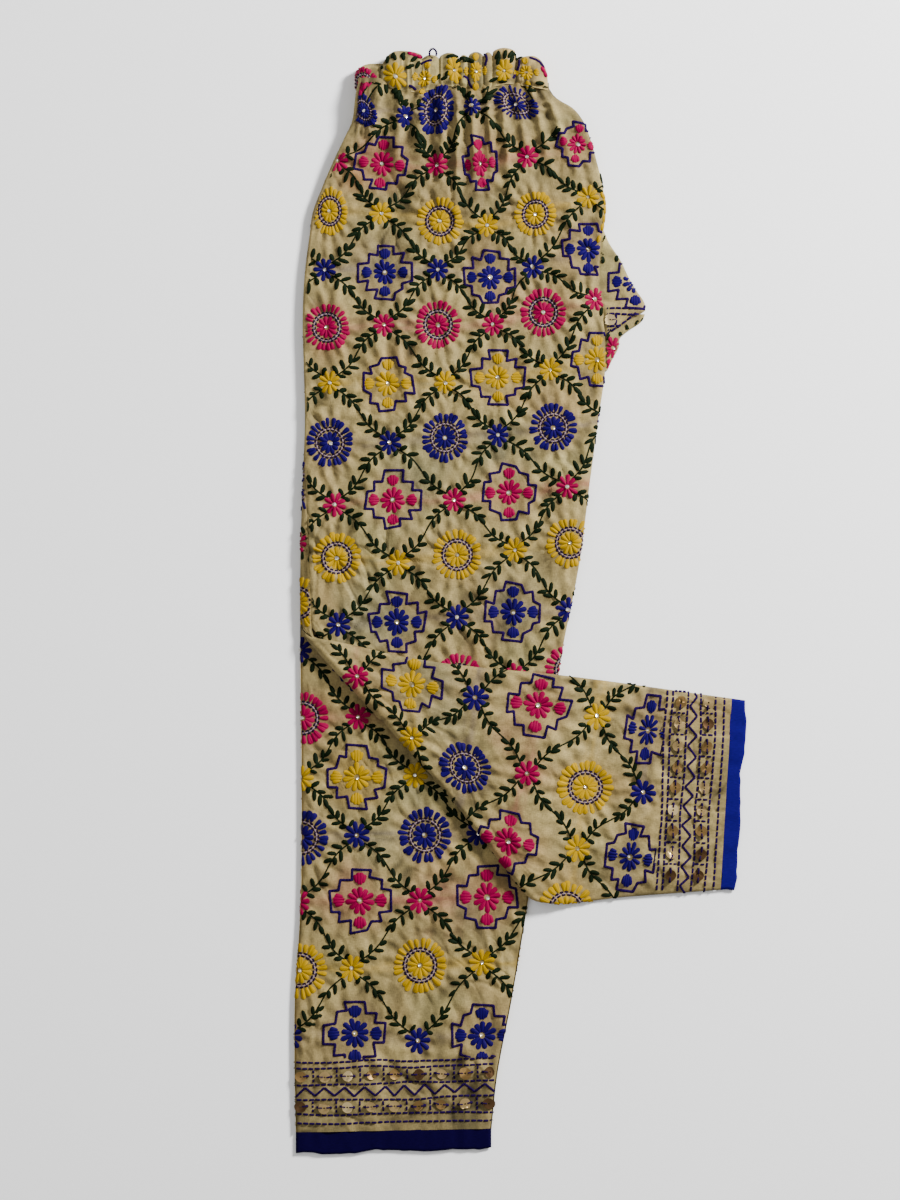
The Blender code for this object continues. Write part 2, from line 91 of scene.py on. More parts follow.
# The folded stack's edges all the way down, in millimetres
Outline = namedtuple("Outline", "below left right")
STACK = rows_of(
    Outline,
    (34, -142, 24),
    (42, -144, 30),
    (50, -145, 43),
    (63, -147, 54),
    (78, -154, 60),
    (99, -164, 66),
    (120, -173, 71),
    (141, -181, 73),
    (162, -184, 70),
    (193, -188, 68),
    (235, -190, 72),
    (277, -189, 73),
    (322, -188, 67),
    (374, -190, 60),
    (444, -192, 51),
    (527, -192, 35),
    (635, -191, 20),
    (746, -192, 5),
    (830, -197, -9),
    (893, -197, -21),
    (940, -196, -26),
)

Edge = namedtuple("Edge", "below x")
LEFT_LEG_OUTSEAM = (Edge(527, -190), Edge(623, -185), Edge(733, -189), Edge(895, -190))
LEFT_LEG_INSEAM = (Edge(635, 21), Edge(740, 9), Edge(757, 8.5), Edge(821, -6), Edge(907, -25))

# The crotch gusset's outer edge, in millimetres
GUSSET_EDGE = rows_of(
    Edge,
    (155, 71),
    (167, 76),
    (184, 87),
    (199, 94),
    (209, 100),
    (221, 107.5),
    (227, 108),
    (238, 103),
    (244, 94),
    (251, 86),
    (258, 85),
    (270, 79),
    (282, 73.5),
)
GUSSET_TOP = 161 * MM
GUSSET_TIP = 227 * MM
GUSSET_JOIN = 249 * MM
GUSSET_BOTTOM = 279 * MM

# Folds that fan down from the gathered waist and the long ones of the leg, in millimetres
Fold = namedtuple("Fold", "x below end_x end_below width height")
FOLDS = rows_of(
    Fold,
    (-122, 30, -136, 112, 9, 2.4),
    (-102, 30, -113, 130, 9, 3.0),
    (-86, 30, -90, 120, 8, 2.6),
    (-68, 30, -72, 150, 7, 3.4),
    (-55, 30, -57, 172, 6, 4.0),
    (-42, 30, -40, 165, 7, 4.0),
    (-30, 30, -25, 130, 6, 3.0),
    (-18, 30, -8, 140, 7, 3.2),
    (-5, 30, 9, 122, 7, 3.0),
    (8, 30, 31, 130, 8, 3.4),
    (19, 32, 53, 122, 8, 2.8),
    (-150, 120, -168, 330, 13, 1.6),
    (-95, 150, -108, 380, 14, 1.2),
    (-30, 150, -42, 360, 13, 1.4),
    (40, 110, 50, 300, 12, 1.8),
    (-130, 330, -140, 500, 15, 1.0),
    (10, 330, -6, 560, 14, 1.2),
)

Puff = namedtuple("Puff", "left right crown height")
PUFFS = rows_of(
    Puff,
    (-122, -86, 2.6, 5.6),
    (-86, -71, 6.0, 4.6),
    (-71, -54, 4.3, 5.8),
    (-54, -46, 6.0, 5.0),
    (-46, -33, 3.5, 6.0),
    (-33, -25, 3.8, 5.2),
    (-25, -5, 0.0, 6.2),
    (-5, 23, 7.0, 5.6),
)
PUFF_DIP = 4 * MM
PUFF_VALLEY_HEIGHT = 2.6 * MM


def smooth(x):
    x = np.clip(x, 0.0, 1.0)
    return x * x * (3.0 - 2.0 * x)


def bell(offset, width=1.0):
    """Falls smoothly from 1 on both sides of nought."""
    return np.exp(-((offset / width) ** 2))


def rounded(share):
    """Rises from 0 to 1 as a quarter of a circle does."""
    return np.sqrt(1.0 - (1.0 - np.clip(share, 0.0, 1.0)) ** 2)


def through(stations, values, at):
    """A smooth curve through values at stations, both in millimetres, level past its ends."""
    stations = np.asarray(stations, float) * MM
    values = np.asarray(values, float) * MM
    slopes = np.gradient(values, stations)
    at = np.clip(at, stations[0], stations[-1])
    i = np.clip(np.searchsorted(stations, at) - 1, 0, len(stations) - 2)
    span = stations[i + 1] - stations[i]
    t = (at - stations[i]) / span
    start = (1 + 2 * t) * (1 - t) ** 2 * values[i] + t * (1 - t) ** 2 * span * slopes[i]
    end = t * t * (3 - 2 * t) * values[i + 1] + t * t * (t - 1) * span * slopes[i + 1]
    return start + end


def edge_through(rows):
    """The X of an edge for each place below, through rows of below and X."""
    stations, values = zip(*rows)
    return lambda below: through(stations, values, below)


LEFT_ROWS = [Edge(row.below, row.left) for row in STACK]
RIGHT_ROWS = [Edge(row.below, row.right) for row in STACK]
stack_left = edge_through(LEFT_ROWS)
stack_right = edge_through(RIGHT_ROWS)
gusset_outer = edge_through(GUSSET_EDGE)


def leg_edge(above, rows):
    """An edge of the left leg: as the stack's until its own rows begin."""
    return edge_through([row for row in above if row.below < rows[0].below] + list(rows))


Leg = namedtuple("Leg", "left right hem band_end")
left_leg = Leg(
    leg_edge(LEFT_ROWS, LEFT_LEG_OUTSEAM), leg_edge(RIGHT_ROWS, LEFT_LEG_INSEAM), LEFT_HEM, LEFT_BAND_END
)
right_leg = Leg(stack_left, stack_right, RIGHT_HEM, RIGHT_BAND_END)


def pitch(below):
    reach = (below - CASING_DEPTH) / (WAIST_THICK_UNTIL - CASING_DEPTH)
    return WAIST_PITCH + (LAYER_PITCH - WAIST_PITCH) * smooth(reach)


def crease_frame():
    start = np.array([left_leg.left(CREASE_LEFT_BELOW), CREASE_LEFT_BELOW])
    end = np.array([left_leg.right(CREASE_RIGHT_BELOW), CREASE_RIGHT_BELOW])
    length = np.linalg.norm(end - start)
    along = (end - start) / length
    return start, np.array([-along[1], along[0]]), length


CREASE_POINT, ACROSS_CREASE, CREASE_LENGTH = crease_frame()


def beyond_crease(x, below):
    return (x - CREASE_POINT[0]) * ACROSS_CREASE[0] + (below - CREASE_POINT[1]) * ACROSS_CREASE[1]


def along_crease(x, below):
    along = (x - CREASE_POINT[0]) * ACROSS_CREASE[1] - (below - CREASE_POINT[1]) * ACROSS_CREASE[0]
    return along / CREASE_LENGTH


def beside_crease(leg, beyond):
    """Where a line beside the crease meets a leg's two edges, as below."""
    ends = []
    for edge, below in ((leg.left, CREASE_LEFT_BELOW), (leg.right, CREASE_RIGHT_BELOW)):
        for _ in range(6):
            here = beyond_crease(edge(below), below)
            rate = (beyond_crease(edge(below + MM), below + MM) - here) / MM
            below = below + (beyond - here) / rate
        ends.append(below)
    return tuple(ends)


def fall(x, below):
    return TURNED_BACK_HEIGHT * smooth((x - stack_right(below) - FALL_START) / FALL_LENGTH)


def turn_back(x, below, radius):
    """Carries points of the unfolded left leg over the crease; returns X, below and height."""
    beyond = beyond_crease(x, below)
    turn = np.clip(beyond / ROLL_RADIUS, 0.0, np.pi)
    past = np.maximum(beyond - np.pi * ROLL_RADIUS, 0.0)
    reach = np.minimum(beyond, 0.0) + radius * np.sin(turn) - past
    bow = CREASE_BOW * np.sin(np.pi * np.clip(along_crease(x, below), 0.0, 1.0))
    reach = reach - bow * smooth(1.0 - np.abs(beyond) / CREASE_BOW_REACH)
    x = x + (reach - beyond) * ACROSS_CREASE[0]
    below = below + (reach - beyond) * ACROSS_CREASE[1]
    height = 3.5 * LAYER_PITCH + CLOTH / 2 - radius * np.cos(turn)
    return x, below, height - fall(x, below) * smooth(2.0 * turn / np.pi - 1.0)


def to_frame(x, below, height):
    return np.stack([x + CENTRE_SHIFT, WAIST_TOP_Y - below, height], axis=-1)


def from_photo(x, y):
    """A pixel of the photograph as X and below, both before the shift to the frame's centre."""
    return (x - ZERO_X_PIXEL) * PIXEL, (y - TOP_Y_PIXEL) * PIXEL


# Crinkles and puckers

def hashed(i, j, seed):
    """A repeatable value from 0 to 1 for each pair of whole numbers."""
    value = np.sin(i * 127.1 + j * 311.7 + seed * 74.7) * 43758.5453
    return value - np.floor(value)


def noise(x, y, seed=0):
    """Smooth noise from -1 to 1 with features one unit across."""
    i = np.floor(x)
    j = np.floor(y)
    u = smooth(x - i)
    v = smooth(y - j)
    low = hashed(i, j, seed) * (1 - u) + hashed(i + 1, j, seed) * u
    high = hashed(i, j + 1, seed) * (1 - u) + hashed(i + 1, j + 1, seed) * u
    return 2.0 * (low * (1 - v) + high * v) - 1.0


def grain(x, y, wide, high, seed):
    """Smooth noise with features so many millimetres wide and high."""
    return noise(x / (wide * MM), y / (high * MM), seed)


def ridge(value):
    """Turns smooth noise into soft crests with sharp valleys."""
    return 0.5 - np.abs(value)


def creases(x, below, seed):
    """The sharper crinkles alone, whose valleys also set the painted shade in the cloth's tint."""
    across = x + 13 * MM * grain(x, below, 52, 44, seed + 5)
    down = below + 12 * MM * grain(x, below, 40, 58, seed + 10)
    fine = 0.20 * grain(across, down, 3.4, 12, seed)
    middle = 0.8 * ridge(grain(across, down, 8.5, 25, seed + 1))
    long = 2.1 * ridge(grain(across, down, 19, 85, seed + 2))
    slant = 1.6 * ridge(grain(across + 0.7 * down, across - down, 17, 34, seed + 3))
    counter = 1.5 * ridge(grain(across - 0.8 * down, across + down, 18, 36, seed + 6))
    first_line = bell(grain(across, down, 21, 38, seed + 12), 0.09)
    second_line = bell(grain(across + down, across - down, 30, 23, seed + 13), 0.08)
    patchy = 0.75 + 0.45 * grain(x, below, 37, 45, seed + 7)
    return (fine + middle + long + slant + counter - first_line - 0.7 * second_line) * patchy * MM


def crinkle(x, below, seed):
    """The height of the cloth's crinkles, as an offset about zero."""
    return creases(x, below, seed) + 1.3 * MM * grain(x, below, 44, 56, seed + 4)


def fold_relief(x, below):
    height = np.zeros(np.broadcast(x, below).shape)
    for fold in FOLDS:
        share = (below - fold.below * MM) / ((fold.end_below - fold.below) * MM)
        middle = (fold.x + (fold.end_x - fold.x) * share) * MM
        across = bell(x - middle, fold.width * MM * 0.55)
        fade = smooth(share * 6.0) * smooth((1.0 - share) * 1.6)
        height = np.maximum(height, 1.3 * fold.height * MM * across * fade)
    return height


def pucker(x, below, motifs):
    """Each motif lies flat and pulls a ring of small radial ripples round it."""
    height = np.zeros(np.broadcast(x, below).shape)
    for motif in motifs:
        across = (x - motif.x) / motif.half_width
        down = (below - motif.below) / motif.half_height
        distance = np.hypot(across, down)
        near = distance < 2.2
        around = np.arctan2(down[near], across[near])
        out = distance[near]
        ripples = np.cos(around * motif.ripples + motif.x * 900.0) * bell(out - 1.22, 0.30)
        bed = -np.exp(-((out / 0.9) ** 4))
        height[near] += (0.95 * ripples + 0.7 * bed) * MM
    return height


# The lattice of motifs

BLUE, YELLOW, PINK = "blue", "yellow", "pink"
ROW_COLOURS = (BLUE, YELLOW, PINK)
ROW_SHAPES = ("cross", "wheel")

# Rows of motifs as the photograph shows them, in its pixels, counted up from the hem.
# A motif is a medallion where its row and column add up to an odd number, and a small flower elsewhere.
MotifRow = namedtuple("MotifRow", "row column places")


def motif_rows(first, step, *rows):
    """Rows numbered from the first one by a step, with their columns counted from nought."""
    return [MotifRow(first + step * number, 0, places) for number, places in enumerate(rows)]


FRONT_ROWS = motif_rows(
    16,
    -1,
    ((395.5, 78), (425, 79), (454, 73), (475.5, 73), (504, 75), (526, 76)),
    ((364, 113), (405, 118), (436, 112), (472, 108), (516, 107)),
    ((338, 162), (382, 165), (437, 166), (480, 165), (527, 158), (577, 145)),
    ((330, 212), (381, 214), (440, 222), (487, 226), (535, 215), (588, 198), (625, 220)),
    ((325, 270), (385, 273), (438, 270), (490, 278), (533, 268), (588, 250)),
    ((327, 328), (384, 325), (438, 325), (493, 325), (543, 313), (595, 300)),
    ((330, 383), (388, 384), (445, 383), (498, 378), (550, 370), (597, 360)),
    ((330, 443), (390, 443), (445, 438), (498, 435), (553, 428), (608, 420)),
    ((335, 505), (393, 500), (454, 500), (509, 493), (567, 487), (625, 480)),
    ((337, 558), (398, 563), (457, 555), (515, 550), (570, 543), (627, 536)),
    ((338, 625), (397, 622), (457, 617), (513, 612), (568, 610), (625, 604)),
    ((340, 690), (398, 686), (459, 680), (515, 676), (570, 670)),
)
LAYER_ROWS = (MotifRow(17, 0, ((365, 87),)),)
UPPER_GUSSET_ROWS = (
    MotifRow(12, 0, ((610, 248),)),
    MotifRow(12, 1, ((635, 282),)),
)
LOWER_GUSSET_ROWS = (
    MotifRow(11, 1, ((613, 348),)),
    MotifRow(11, 1, ((606, 370),)),
)
EDGE_ROWS = motif_rows(
    9,
    -1,
    ((297, 486),),
    ((296, 543),),
    ((298, 603),),
    ((297, 660),),
)
UNDER_ROWS = motif_rows(
    14,
    -1,
    ((366, 140), (410, 142), (455, 143), (500, 140), (545, 135)),
    ((345, 192), (398, 194), (450, 196), (503, 193), (556, 188)),
    ((333, 250), (387, 252), (441, 254), (495, 250), (549, 246), (600, 243)),
    ((331, 308), (386, 310), (441, 311), (496, 308), (551, 303), (601, 300)),
    ((332, 366), (388, 367), (444, 368), (499, 365), (554, 361)),
    ((333, 425), (390, 426), (446, 426), (502, 423), (558, 420)),
    ((333, 484), (391, 485), (448, 485), (505, 482), (561, 479)),
    ((333, 544), (391, 545), (449, 544), (507, 542), (561, 539)),
    ((332, 604), (391, 605), (449, 604), (507, 602), (556, 599)),
    ((330, 664), (389, 665), (448, 664), (506, 662)),
    ((326, 725), (386, 725), (446, 724), (506, 722)),
    ((324, 786), (385, 786), (446, 785), (505, 783)),
    ((322, 848), (384, 848), (446, 847), (504, 845)),
    ((320, 910), (383, 910), (446, 909), (502, 907)),
    ((318, 972), (382, 972), (446, 971), (500, 969)),
)
LOWER_ROWS = motif_rows(
    6,
    -1,
    ((300, 650), (360, 660)),
    ((303, 718), (358, 717), (412, 712)),
    ((301, 778), (357, 777), (415, 775), (474, 772)),
    ((302, 837), (357, 835), (425, 835), (478, 833)),
    ((298, 902), (360, 900), (420, 900), (487, 897), (548, 895)),
    ((300, 970), (352, 968), (420, 965), (482, 962), (545, 960)),
    ((290, 1036), (355, 1033), (418, 1040), (482, 1035), (545, 1033)),
)
TURNED_ROWS = motif_rows(
    0,
    1,
    ((655, 662), (648, 730), (643, 792), (630, 857), (624, 918)),
    ((604, 650), (597, 716), (585, 787), (577, 848), (566, 908)),
    ((546, 638), (538, 705), (527, 773), (508, 840), (500, 905)),
    ((486, 630), (475, 697), (465, 767), (452, 832)),
    ((421, 622), (412, 684), (408, 741), (398, 805)),
    ((363, 618), (355, 678), (345, 735)),
)

# Half sizes of the motifs, the ripples round each, and how the gathers squeeze some of the front's
HALF_SIZES = {"wheel": 20.5 * MM, "cross": 23.0 * MM, "small": 9.9 * MM}
RIPPLES = {"wheel": 14, "cross": 12, "small": 7}
SQUEEZED = {
    (17, 0): (0.62, 0.85, -20),
    (16, 0): (1.12, 1.15, 0),
    (16, 1): (0.54, 0.62, 12),
    (16, 2): (0.72, 1.2, -6),
    (16, 3): (0.50, 0.72, 0),
    (16, 4): (0.78, 1.2, 5),
    (16, 5): (0.56, 0.66, -6),
    (15, 0): (0.50, 0.72, -32),
    (15, 1): (0.75, 0.95, 8),
    (15, 2): (0.78, 1.05, 10),
    (15, 3): (0.8, 0.85, 0),
    (15, 4): (1.02, 0.58, 20),
    (14, 1): (1.0, 1.0, 6),
    (14, 3): (0.66, 1.0, -6),
    (14, 5): (0.78, 0.8, 8),
    (13, 0): (0.8, 1.0, 0),
    (13, 4): (0.9, 0.95, 12),
}

SHORT_BY_BORDER = {(0, 1): (1.12, 0.72, 0), (0, 3): (1.1, 0.80, 0)}

Motif = namedtuple("Motif", "row column shape colour x below half_width half_height turn ripples")


def growth(below):
    """The lattice is stretched a little more towards the hem."""
    return 0.97 + 0.17 * smooth((below / MM - 200) / 600)


def as_seen(x, below):
    return x, below


def unfold(x, below):
    """The place on the unfolded left leg that lies at X and below once it is turned back."""
    inward = -beyond_crease(x, below)
    step = (2.0 * inward + np.pi * ROLL_RADIUS) * ACROSS_CREASE
    guess = np.array([x, below]) + step
    if inward < CREASE_BOW:
        return guess[0], guess[1]
    for _ in range(12):
        seen_x, seen_below, _ = turn_back(guess[0], guess[1], ROLL_RADIUS)
        miss = np.array([x - seen_x, below - seen_below])
        guess = guess + miss - 2.0 * (miss @ ACROSS_CREASE) * ACROSS_CREASE
    return guess[0], guess[1]


def lay_rows(rows, to_cloth=as_seen, squeezed={}):
    """The motifs of one panel, on the cloth before it is folded."""
    motifs = []
    for row in rows:
        for column, place in enumerate(row.places, row.column):
            x, below = to_cloth(*from_photo(*place))
            medallion = (row.row + column) % 2 == 1
            shape = ROW_SHAPES[row.row % 2] if medallion else "small"
            wide, high, turn = squeezed.get((row.row, column), (1.0, 1.0, 0.0))
            motif = Motif(
                row.row,
                column,
                shape,
                ROW_COLOURS[row.row % 3],
                float(x),
                float(below),
                float(HALF_SIZES[shape] * wide * growth(below)),
                float(HALF_SIZES[shape] * high * growth(below) * 1.04),
                np.radians(turn),
                RIPPLES[shape],
            )
            motifs.append(motif)
    return motifs


front_motifs = lay_rows(FRONT_ROWS, squeezed=SQUEEZED)
edge_motifs = lay_rows(EDGE_ROWS)
layer_motifs = lay_rows(LAYER_ROWS, squeezed=SQUEEZED)
upper_gusset_motifs = lay_rows(UPPER_GUSSET_ROWS)
lower_gusset_motifs = lay_rows(LOWER_GUSSET_ROWS)
under_motifs = lay_rows(UNDER_ROWS)
lower_motifs = lay_rows(LOWER_ROWS)
turned_motifs = lay_rows(TURNED_ROWS, unfold, SHORT_BY_BORDER)


# The surfaces that the cloth's face follows

# The seed of each surface's crinkles
FRONT_CRINKLES = 1
TURNED_CRINKLES = 21
TURNED_UNDER_CRINKLES = 31
LOWER_CRINKLES = 41
UNDER_CRINKLES = 61
UPPER_GUSSET_CRINKLES = 81
LOWER_GUSSET_CRINKLES = 83

# How far a rim turns down, in radians, and how far inside it the relief is calmed
RIM_BEND = 1.75
RIM_CALM = 7 * MM
# How far from the crease the front's relief and the backs' relief grow to their full height
FRONT_CALM = 16 * MM
BACK_CALM = 26 * MM


def roll_rim(x, below, edge, side):
    """Rolls the cloth down at one long edge; returns the new X, the drop, and the share of relief left."""
    edge_x = edge(below)
    slope = (edge(below + MM) - edge(below - MM)) / (2 * MM)
    slant = 1.0 / np.sqrt(1.0 + slope * slope)
    inset = side * (x - edge_x) * slant
    bend = np.clip((RIM_RADIUS - inset) / RIM_RADIUS, 0.0, RIM_BEND)
    rolled = RIM_RADIUS * (1.0 - np.sin(bend))
    new_x = np.where(inset < RIM_RADIUS, edge_x + side * rolled / slant, x)
    return new_x, RIM_RADIUS * (1.0 - np.cos(bend)), smooth((inset - 1.0 * MM) / RIM_CALM)


def roll_rims(x, below, leg):
    """Rolls the cloth down at both long edges of a leg."""
    left_x, left_drop, left_calm = roll_rim(x, below, leg.left, 1)
    new_x, right_drop, right_calm = roll_rim(left_x, below, leg.right, -1)
    return new_x, left_drop + right_drop, left_calm * right_calm


# How far inside the left edge the outseam of the upper leg runs
seam_inset = edge_through(((40, 2.5), (240, 2.0), (380, 3.0), (430, 7.5), (520, 9.0)))


def outseam(below):
    return left_leg.left(below) + seam_inset(below)


# How far the casing's seam wanders down from its line: pixels across, then millimetres
SeamWave = namedtuple("SeamWave", "x drop")
SEAM_WAVES = rows_of(
    SeamWave,
    (372, -3.6),
    (384, -2.4),
    (398, 1.6),
    (416, 3.4),
    (432, 1.2),
    (447, -1.6),
    (460, 0.2),
    (474, 2.4),
    (490, -0.4),
    (508, -3.4),
    (524, -1.8),
    (546, 1.4),
)
SEAM_WAVE_REACH = 13 * MM


def seam_wave(x, below):
    """How far cloth near the casing's seam is drawn up or let down by the gathers."""
    stations = [from_photo(wave.x, 90)[0] / MM for wave in SEAM_WAVES]
    drop = through(stations, [wave.drop for wave in SEAM_WAVES], x)
    return drop * bell(below - CASING_DEPTH, SEAM_WAVE_REACH)


def below_casing(below, reach=22 * MM):
    """How strongly the elastic still gathers the cloth below the casing's seam."""
    return np.exp(-np.maximum(below - CASING_DEPTH, 0.0) / reach)


def front_surface(x, below):
    """The left front above the crease."""
    new_x, drop, calm = roll_rims(x, below, left_leg)
    steady = 0.3 + 0.7 * smooth(-beyond_crease(x, below) / FRONT_CALM)
    fine = crinkle(x, below, FRONT_CRINKLES) + pucker(x, below, front_motifs)
    relief = fold_relief(x, below) + fine * steady
    relief = relief + 1.1 * gathers(x, below) * below_casing(below)
    groove = -0.9 * MM * bell(x - outseam(below), 1.1 * MM)
    shifted_x, shifted_below, height = turn_back(new_x, below, HAIRPIN_RADIUS - SKIN)
    waist = 3 * (pitch(below) - LAYER_PITCH)
    height = height + waist + (relief + 0.6 * MM + groove) * calm - drop * pitch(below) / LAYER_PITCH
    return to_frame(shifted_x, shifted_below + seam_wave(x, below), height)


def turned_surface(x, below):
    """The left back from the crease to the hem, its face up once turned back."""
    new_x, drop, calm = roll_rims(x, below, left_leg)
    beyond = beyond_crease(x, below)
    steady = 0.25 + 0.75 * smooth((beyond + 2 * MM) / BACK_CALM)
    relief = (crinkle(x, below, TURNED_CRINKLES) + pucker(x, below, turned_motifs)) * steady
    swell = 1.6 * MM * smooth(beyond / (6 * MM)) * smooth(1.0 - beyond / (70 * MM))
    radius = ROLL_RADIUS + SKIN + (relief + swell) * calm + 0.5 * MM - drop
    return to_frame(*turn_back(new_x, below, radius))


def lower_surface(x, below):
    """The right back, which shows below the crease."""
    new_x, drop, calm = roll_rims(x, below, right_leg)
    calm = calm * smooth((beyond_crease(x, below) - 2 * MM) / BACK_CALM)
    relief = crinkle(x, below, LOWER_CRINKLES) + pucker(x, below, lower_motifs) + 0.7 * MM
    return to_frame(new_x, below, LAYER_PITCH + CLOTH / 2 + SKIN + relief * calm - drop)


def under_surface(x, below):
    """The right front, face down on what the trousers lie on."""
    new_x, rise, calm = roll_rims(x, below, right_leg)
    relief = 0.25 * np.abs(crinkle(x, below, UNDER_CRINKLES)) * calm
    above = smooth(0.5 - beyond_crease(x, below) / (12 * MM))
    thick = (pitch(below) / LAYER_PITCH) * above + (1.0 - above)
    return to_frame(new_x, below, 0.55 * MM + relief + rise * thick)


def turned_under_surface(x, below):
    """The left front beyond the crease, its face down once turned back."""
    relief = 0.2 * crinkle(x, below, TURNED_UNDER_CRINKLES)
    return to_frame(*turn_back(x, below, HAIRPIN_RADIUS - SKIN - relief))


def corner(x, left, right):
    """Rises from 0 to 1 at the two ends of a casing, round its upper corners."""
    return 1.0 - rounded(np.minimum(x - left, right - x) / CASING_CORNER)


def puff_arch(x):
    """The casing's top edge at X, as below, and its height above the layers under it."""
    below = np.zeros(np.shape(x))
    height = np.zeros(np.shape(x))
    for puff in PUFFS:
        share = (x - puff.left * MM) / ((puff.right - puff.left) * MM)
        inside = (share >= 0.0) & (share <= 1.0)
        arch = np.sin(np.pi * np.clip(share, 0.0, 1.0)) ** 0.6
        below = np.where(inside, puff.crown * MM + PUFF_DIP * (1 - arch), below)
        rise = PUFF_VALLEY_HEIGHT + (puff.height * MM - PUFF_VALLEY_HEIGHT) * arch
        height = np.where(inside, rise, height)
    return below, height


def gathers(x, below):
    """Fine pleats that the elastic draws across the casing."""
    across = x + 1.5 * MM * grain(x, below, 9, 14, 71)
    pleats = 1.2 * ridge(grain(across, below, 4.2, 24, 72))
    return (pleats + 0.45 * grain(across, below, 6, 12, 73)) * MM


def casing_profile(share):
    """The casing's height from its top edge to its seam, as a share of a puff's height."""
    channel = 0.09 * bell(share - 0.56, 0.12)
    foot = 0.42 * smooth((share - 0.84) / 0.16)
    return 0.42 + 0.58 * rounded(share / 0.16) - channel - foot


CASING_LEFT = PUFFS[0].left * MM
CASING_RIGHT = PUFFS[-1].right * MM


def waist_surface(x, below):
    """The gathered casing, its top edge and a little of its back."""
    inside_x = np.clip(x, CASING_LEFT, CASING_RIGHT)
    past_end = np.abs(x - inside_x)
    top, height = puff_arch(inside_x)
    end = corner(inside_x, CASING_LEFT, CASING_RIGHT)
    top = top + 17 * MM * end
    past_top = np.maximum(top - below, 0.0)
    share = np.clip((below - top) / (CASING_DEPTH - top), 0.0, 1.0)
    relief = gathers(x, below) * smooth(share / 0.1 + 0.3) * (1.0 - 0.6 * end)
    height = height * (1.0 - 0.55 * end) * casing_profile(share)
    level = 3 * WAIST_PITCH + height + relief - past_top - past_end
    return to_frame(inside_x, np.maximum(below, top) + seam_wave(inside_x, below), level)


def waist_layers_surface(x, below):
    """The casing's hidden quarters under the one that shows."""
    inside_x = np.clip(x, HIDDEN_CASING_LEFT, HIDDEN_CASING_RIGHT)
    past_end = np.abs(x - inside_x)
    end = corner(inside_x, HIDDEN_CASING_LEFT, HIDDEN_CASING_RIGHT)
    top = HIDDEN_CASING_TOP + 11 * MM * end
    past_top = np.maximum(top - below, 0.0)
    share = np.clip((below - top) / (CASING_DEPTH - top), 0.0, 1.0)
    height = 3 * WAIST_PITCH * (1.0 - 0.5 * end) * (0.7 + 0.3 * smooth(share * 5.0))
    level = height + gathers(x, below) - past_top - past_end
    return to_frame(inside_x, np.maximum(below, top), level)


# How high the gusset's outer edge lies, and how wide its roll is
GUSSET_RIM = 0.4 * MM
GUSSET_ROLL = 2.2 * MM


def gusset_fold(below):
    """The bunched lower edge of the gusset's upper piece, from its tip back to the seat seam."""
    share = np.clip((below - GUSSET_TIP) / (GUSSET_JOIN - GUSSET_TIP), 0.0, 1.0)
    tip = gusset_outer(GUSSET_TIP)
    return tip + (stack_right(GUSSET_JOIN) - tip) * share


def upper_gusset_right(below):
    return np.where(below < GUSSET_TIP, gusset_outer(below), gusset_fold(below))


def gusset_surface(x, below, right, inner_height, outer_height, seed):
    """A gusset piece bulges between the seat seam and its outer edge, where it rolls down."""
    from_seam = x - stack_right(below)
    from_edge = right(below) - x
    share = np.clip(from_seam / np.maximum(from_seam + from_edge, 1e-6), 0.0, 1.0)
    relief = crinkle(x, below, seed) * smooth(from_edge / (6 * MM)) * smooth(from_seam / (3 * MM) + 0.2)
    bulge = inner_height + (outer_height - inner_height) * share
    height = GUSSET_RIM + (bulge - GUSSET_RIM) * rounded(from_edge / GUSSET_ROLL) + 0.8 * relief
    return to_frame(x, below, height)


def upper_gusset_surface(x, below):
    return gusset_surface(x, below, upper_gusset_right, 4.8 * MM, 4.2 * MM, UPPER_GUSSET_CRINKLES)


def lower_gusset_surface(x, below):
    return gusset_surface(x, below, gusset_outer, 3.4 * MM, 3.0 * MM, LOWER_GUSSET_CRINKLES)


def normals_of(surface, x, below, flip):
    """Unit normals of a surface at places on the cloth."""
    step = 0.6 * MM
    across = surface(x + step, below) - surface(x - step, below)
    up = surface(x, below - step) - surface(x, below + step)
    normal = np.cross(across, up) * flip
    return normal / np.maximum(np.linalg.norm(normal, axis=-1, keepdims=True), 1e-12)


# Materials

def srgb(red, green, blue):
    """A colour given as on screen, from 0 to 255, as the shader's linear values."""
    value = np.array([red, green, blue]) / 255.0
    return np.where(value <= 0.04045, value / 12.92, ((value + 0.055) / 1.055) ** 2.4)


CLOTH_COLOUR = np.array([0.192, 0.146, 0.057])
# Each thread's colour, roughness, and how much lighter its strands' crowns are painted, as painted sheen
THREADS = {
    BLUE: (np.array([0.0050, 0.0001, 0.050]), 0.5, 1.9),
    YELLOW: (np.array([0.33, 0.195, 0.0003]), 0.5, 1.3),
    PINK: (np.array([0.205, 0.0003, 0.036]), 0.5, 1.4),
    "green": (np.array([0.0022, 0.0052, 0.0016]), 0.6, 2.6),
    "violet": (np.array([0.0085, 0.0003, 0.038]), 0.6, 1.3),
    "dark": (np.array([0.009, 0.003, 0.016]), 0.6, 1.3),
    "pale": (np.array([0.24, 0.17, 0.20]), 0.6, 1.3),
}
THREAD_GLOSS = 0.03
BROWNED_CLOTH = np.array([0.185, 0.122, 0.046])
OLIVE_CLOTH = np.array([0.155, 0.134, 0.054])


def new_material(name, roughness):
    """A material with its nodes, links and shader."""
    material = bpy.data.materials.new(name)
    material.use_nodes = True
    nodes = material.node_tree.nodes
    shader = nodes["Principled BSDF"]
    shader.inputs["Roughness"].default_value = roughness
    return material, nodes, material.node_tree.links, shader


def painted_tint(nodes):
    tint = nodes.new("ShaderNodeAttribute")
    tint.attribute_name = "tint"
    return tint.outputs["Color"]


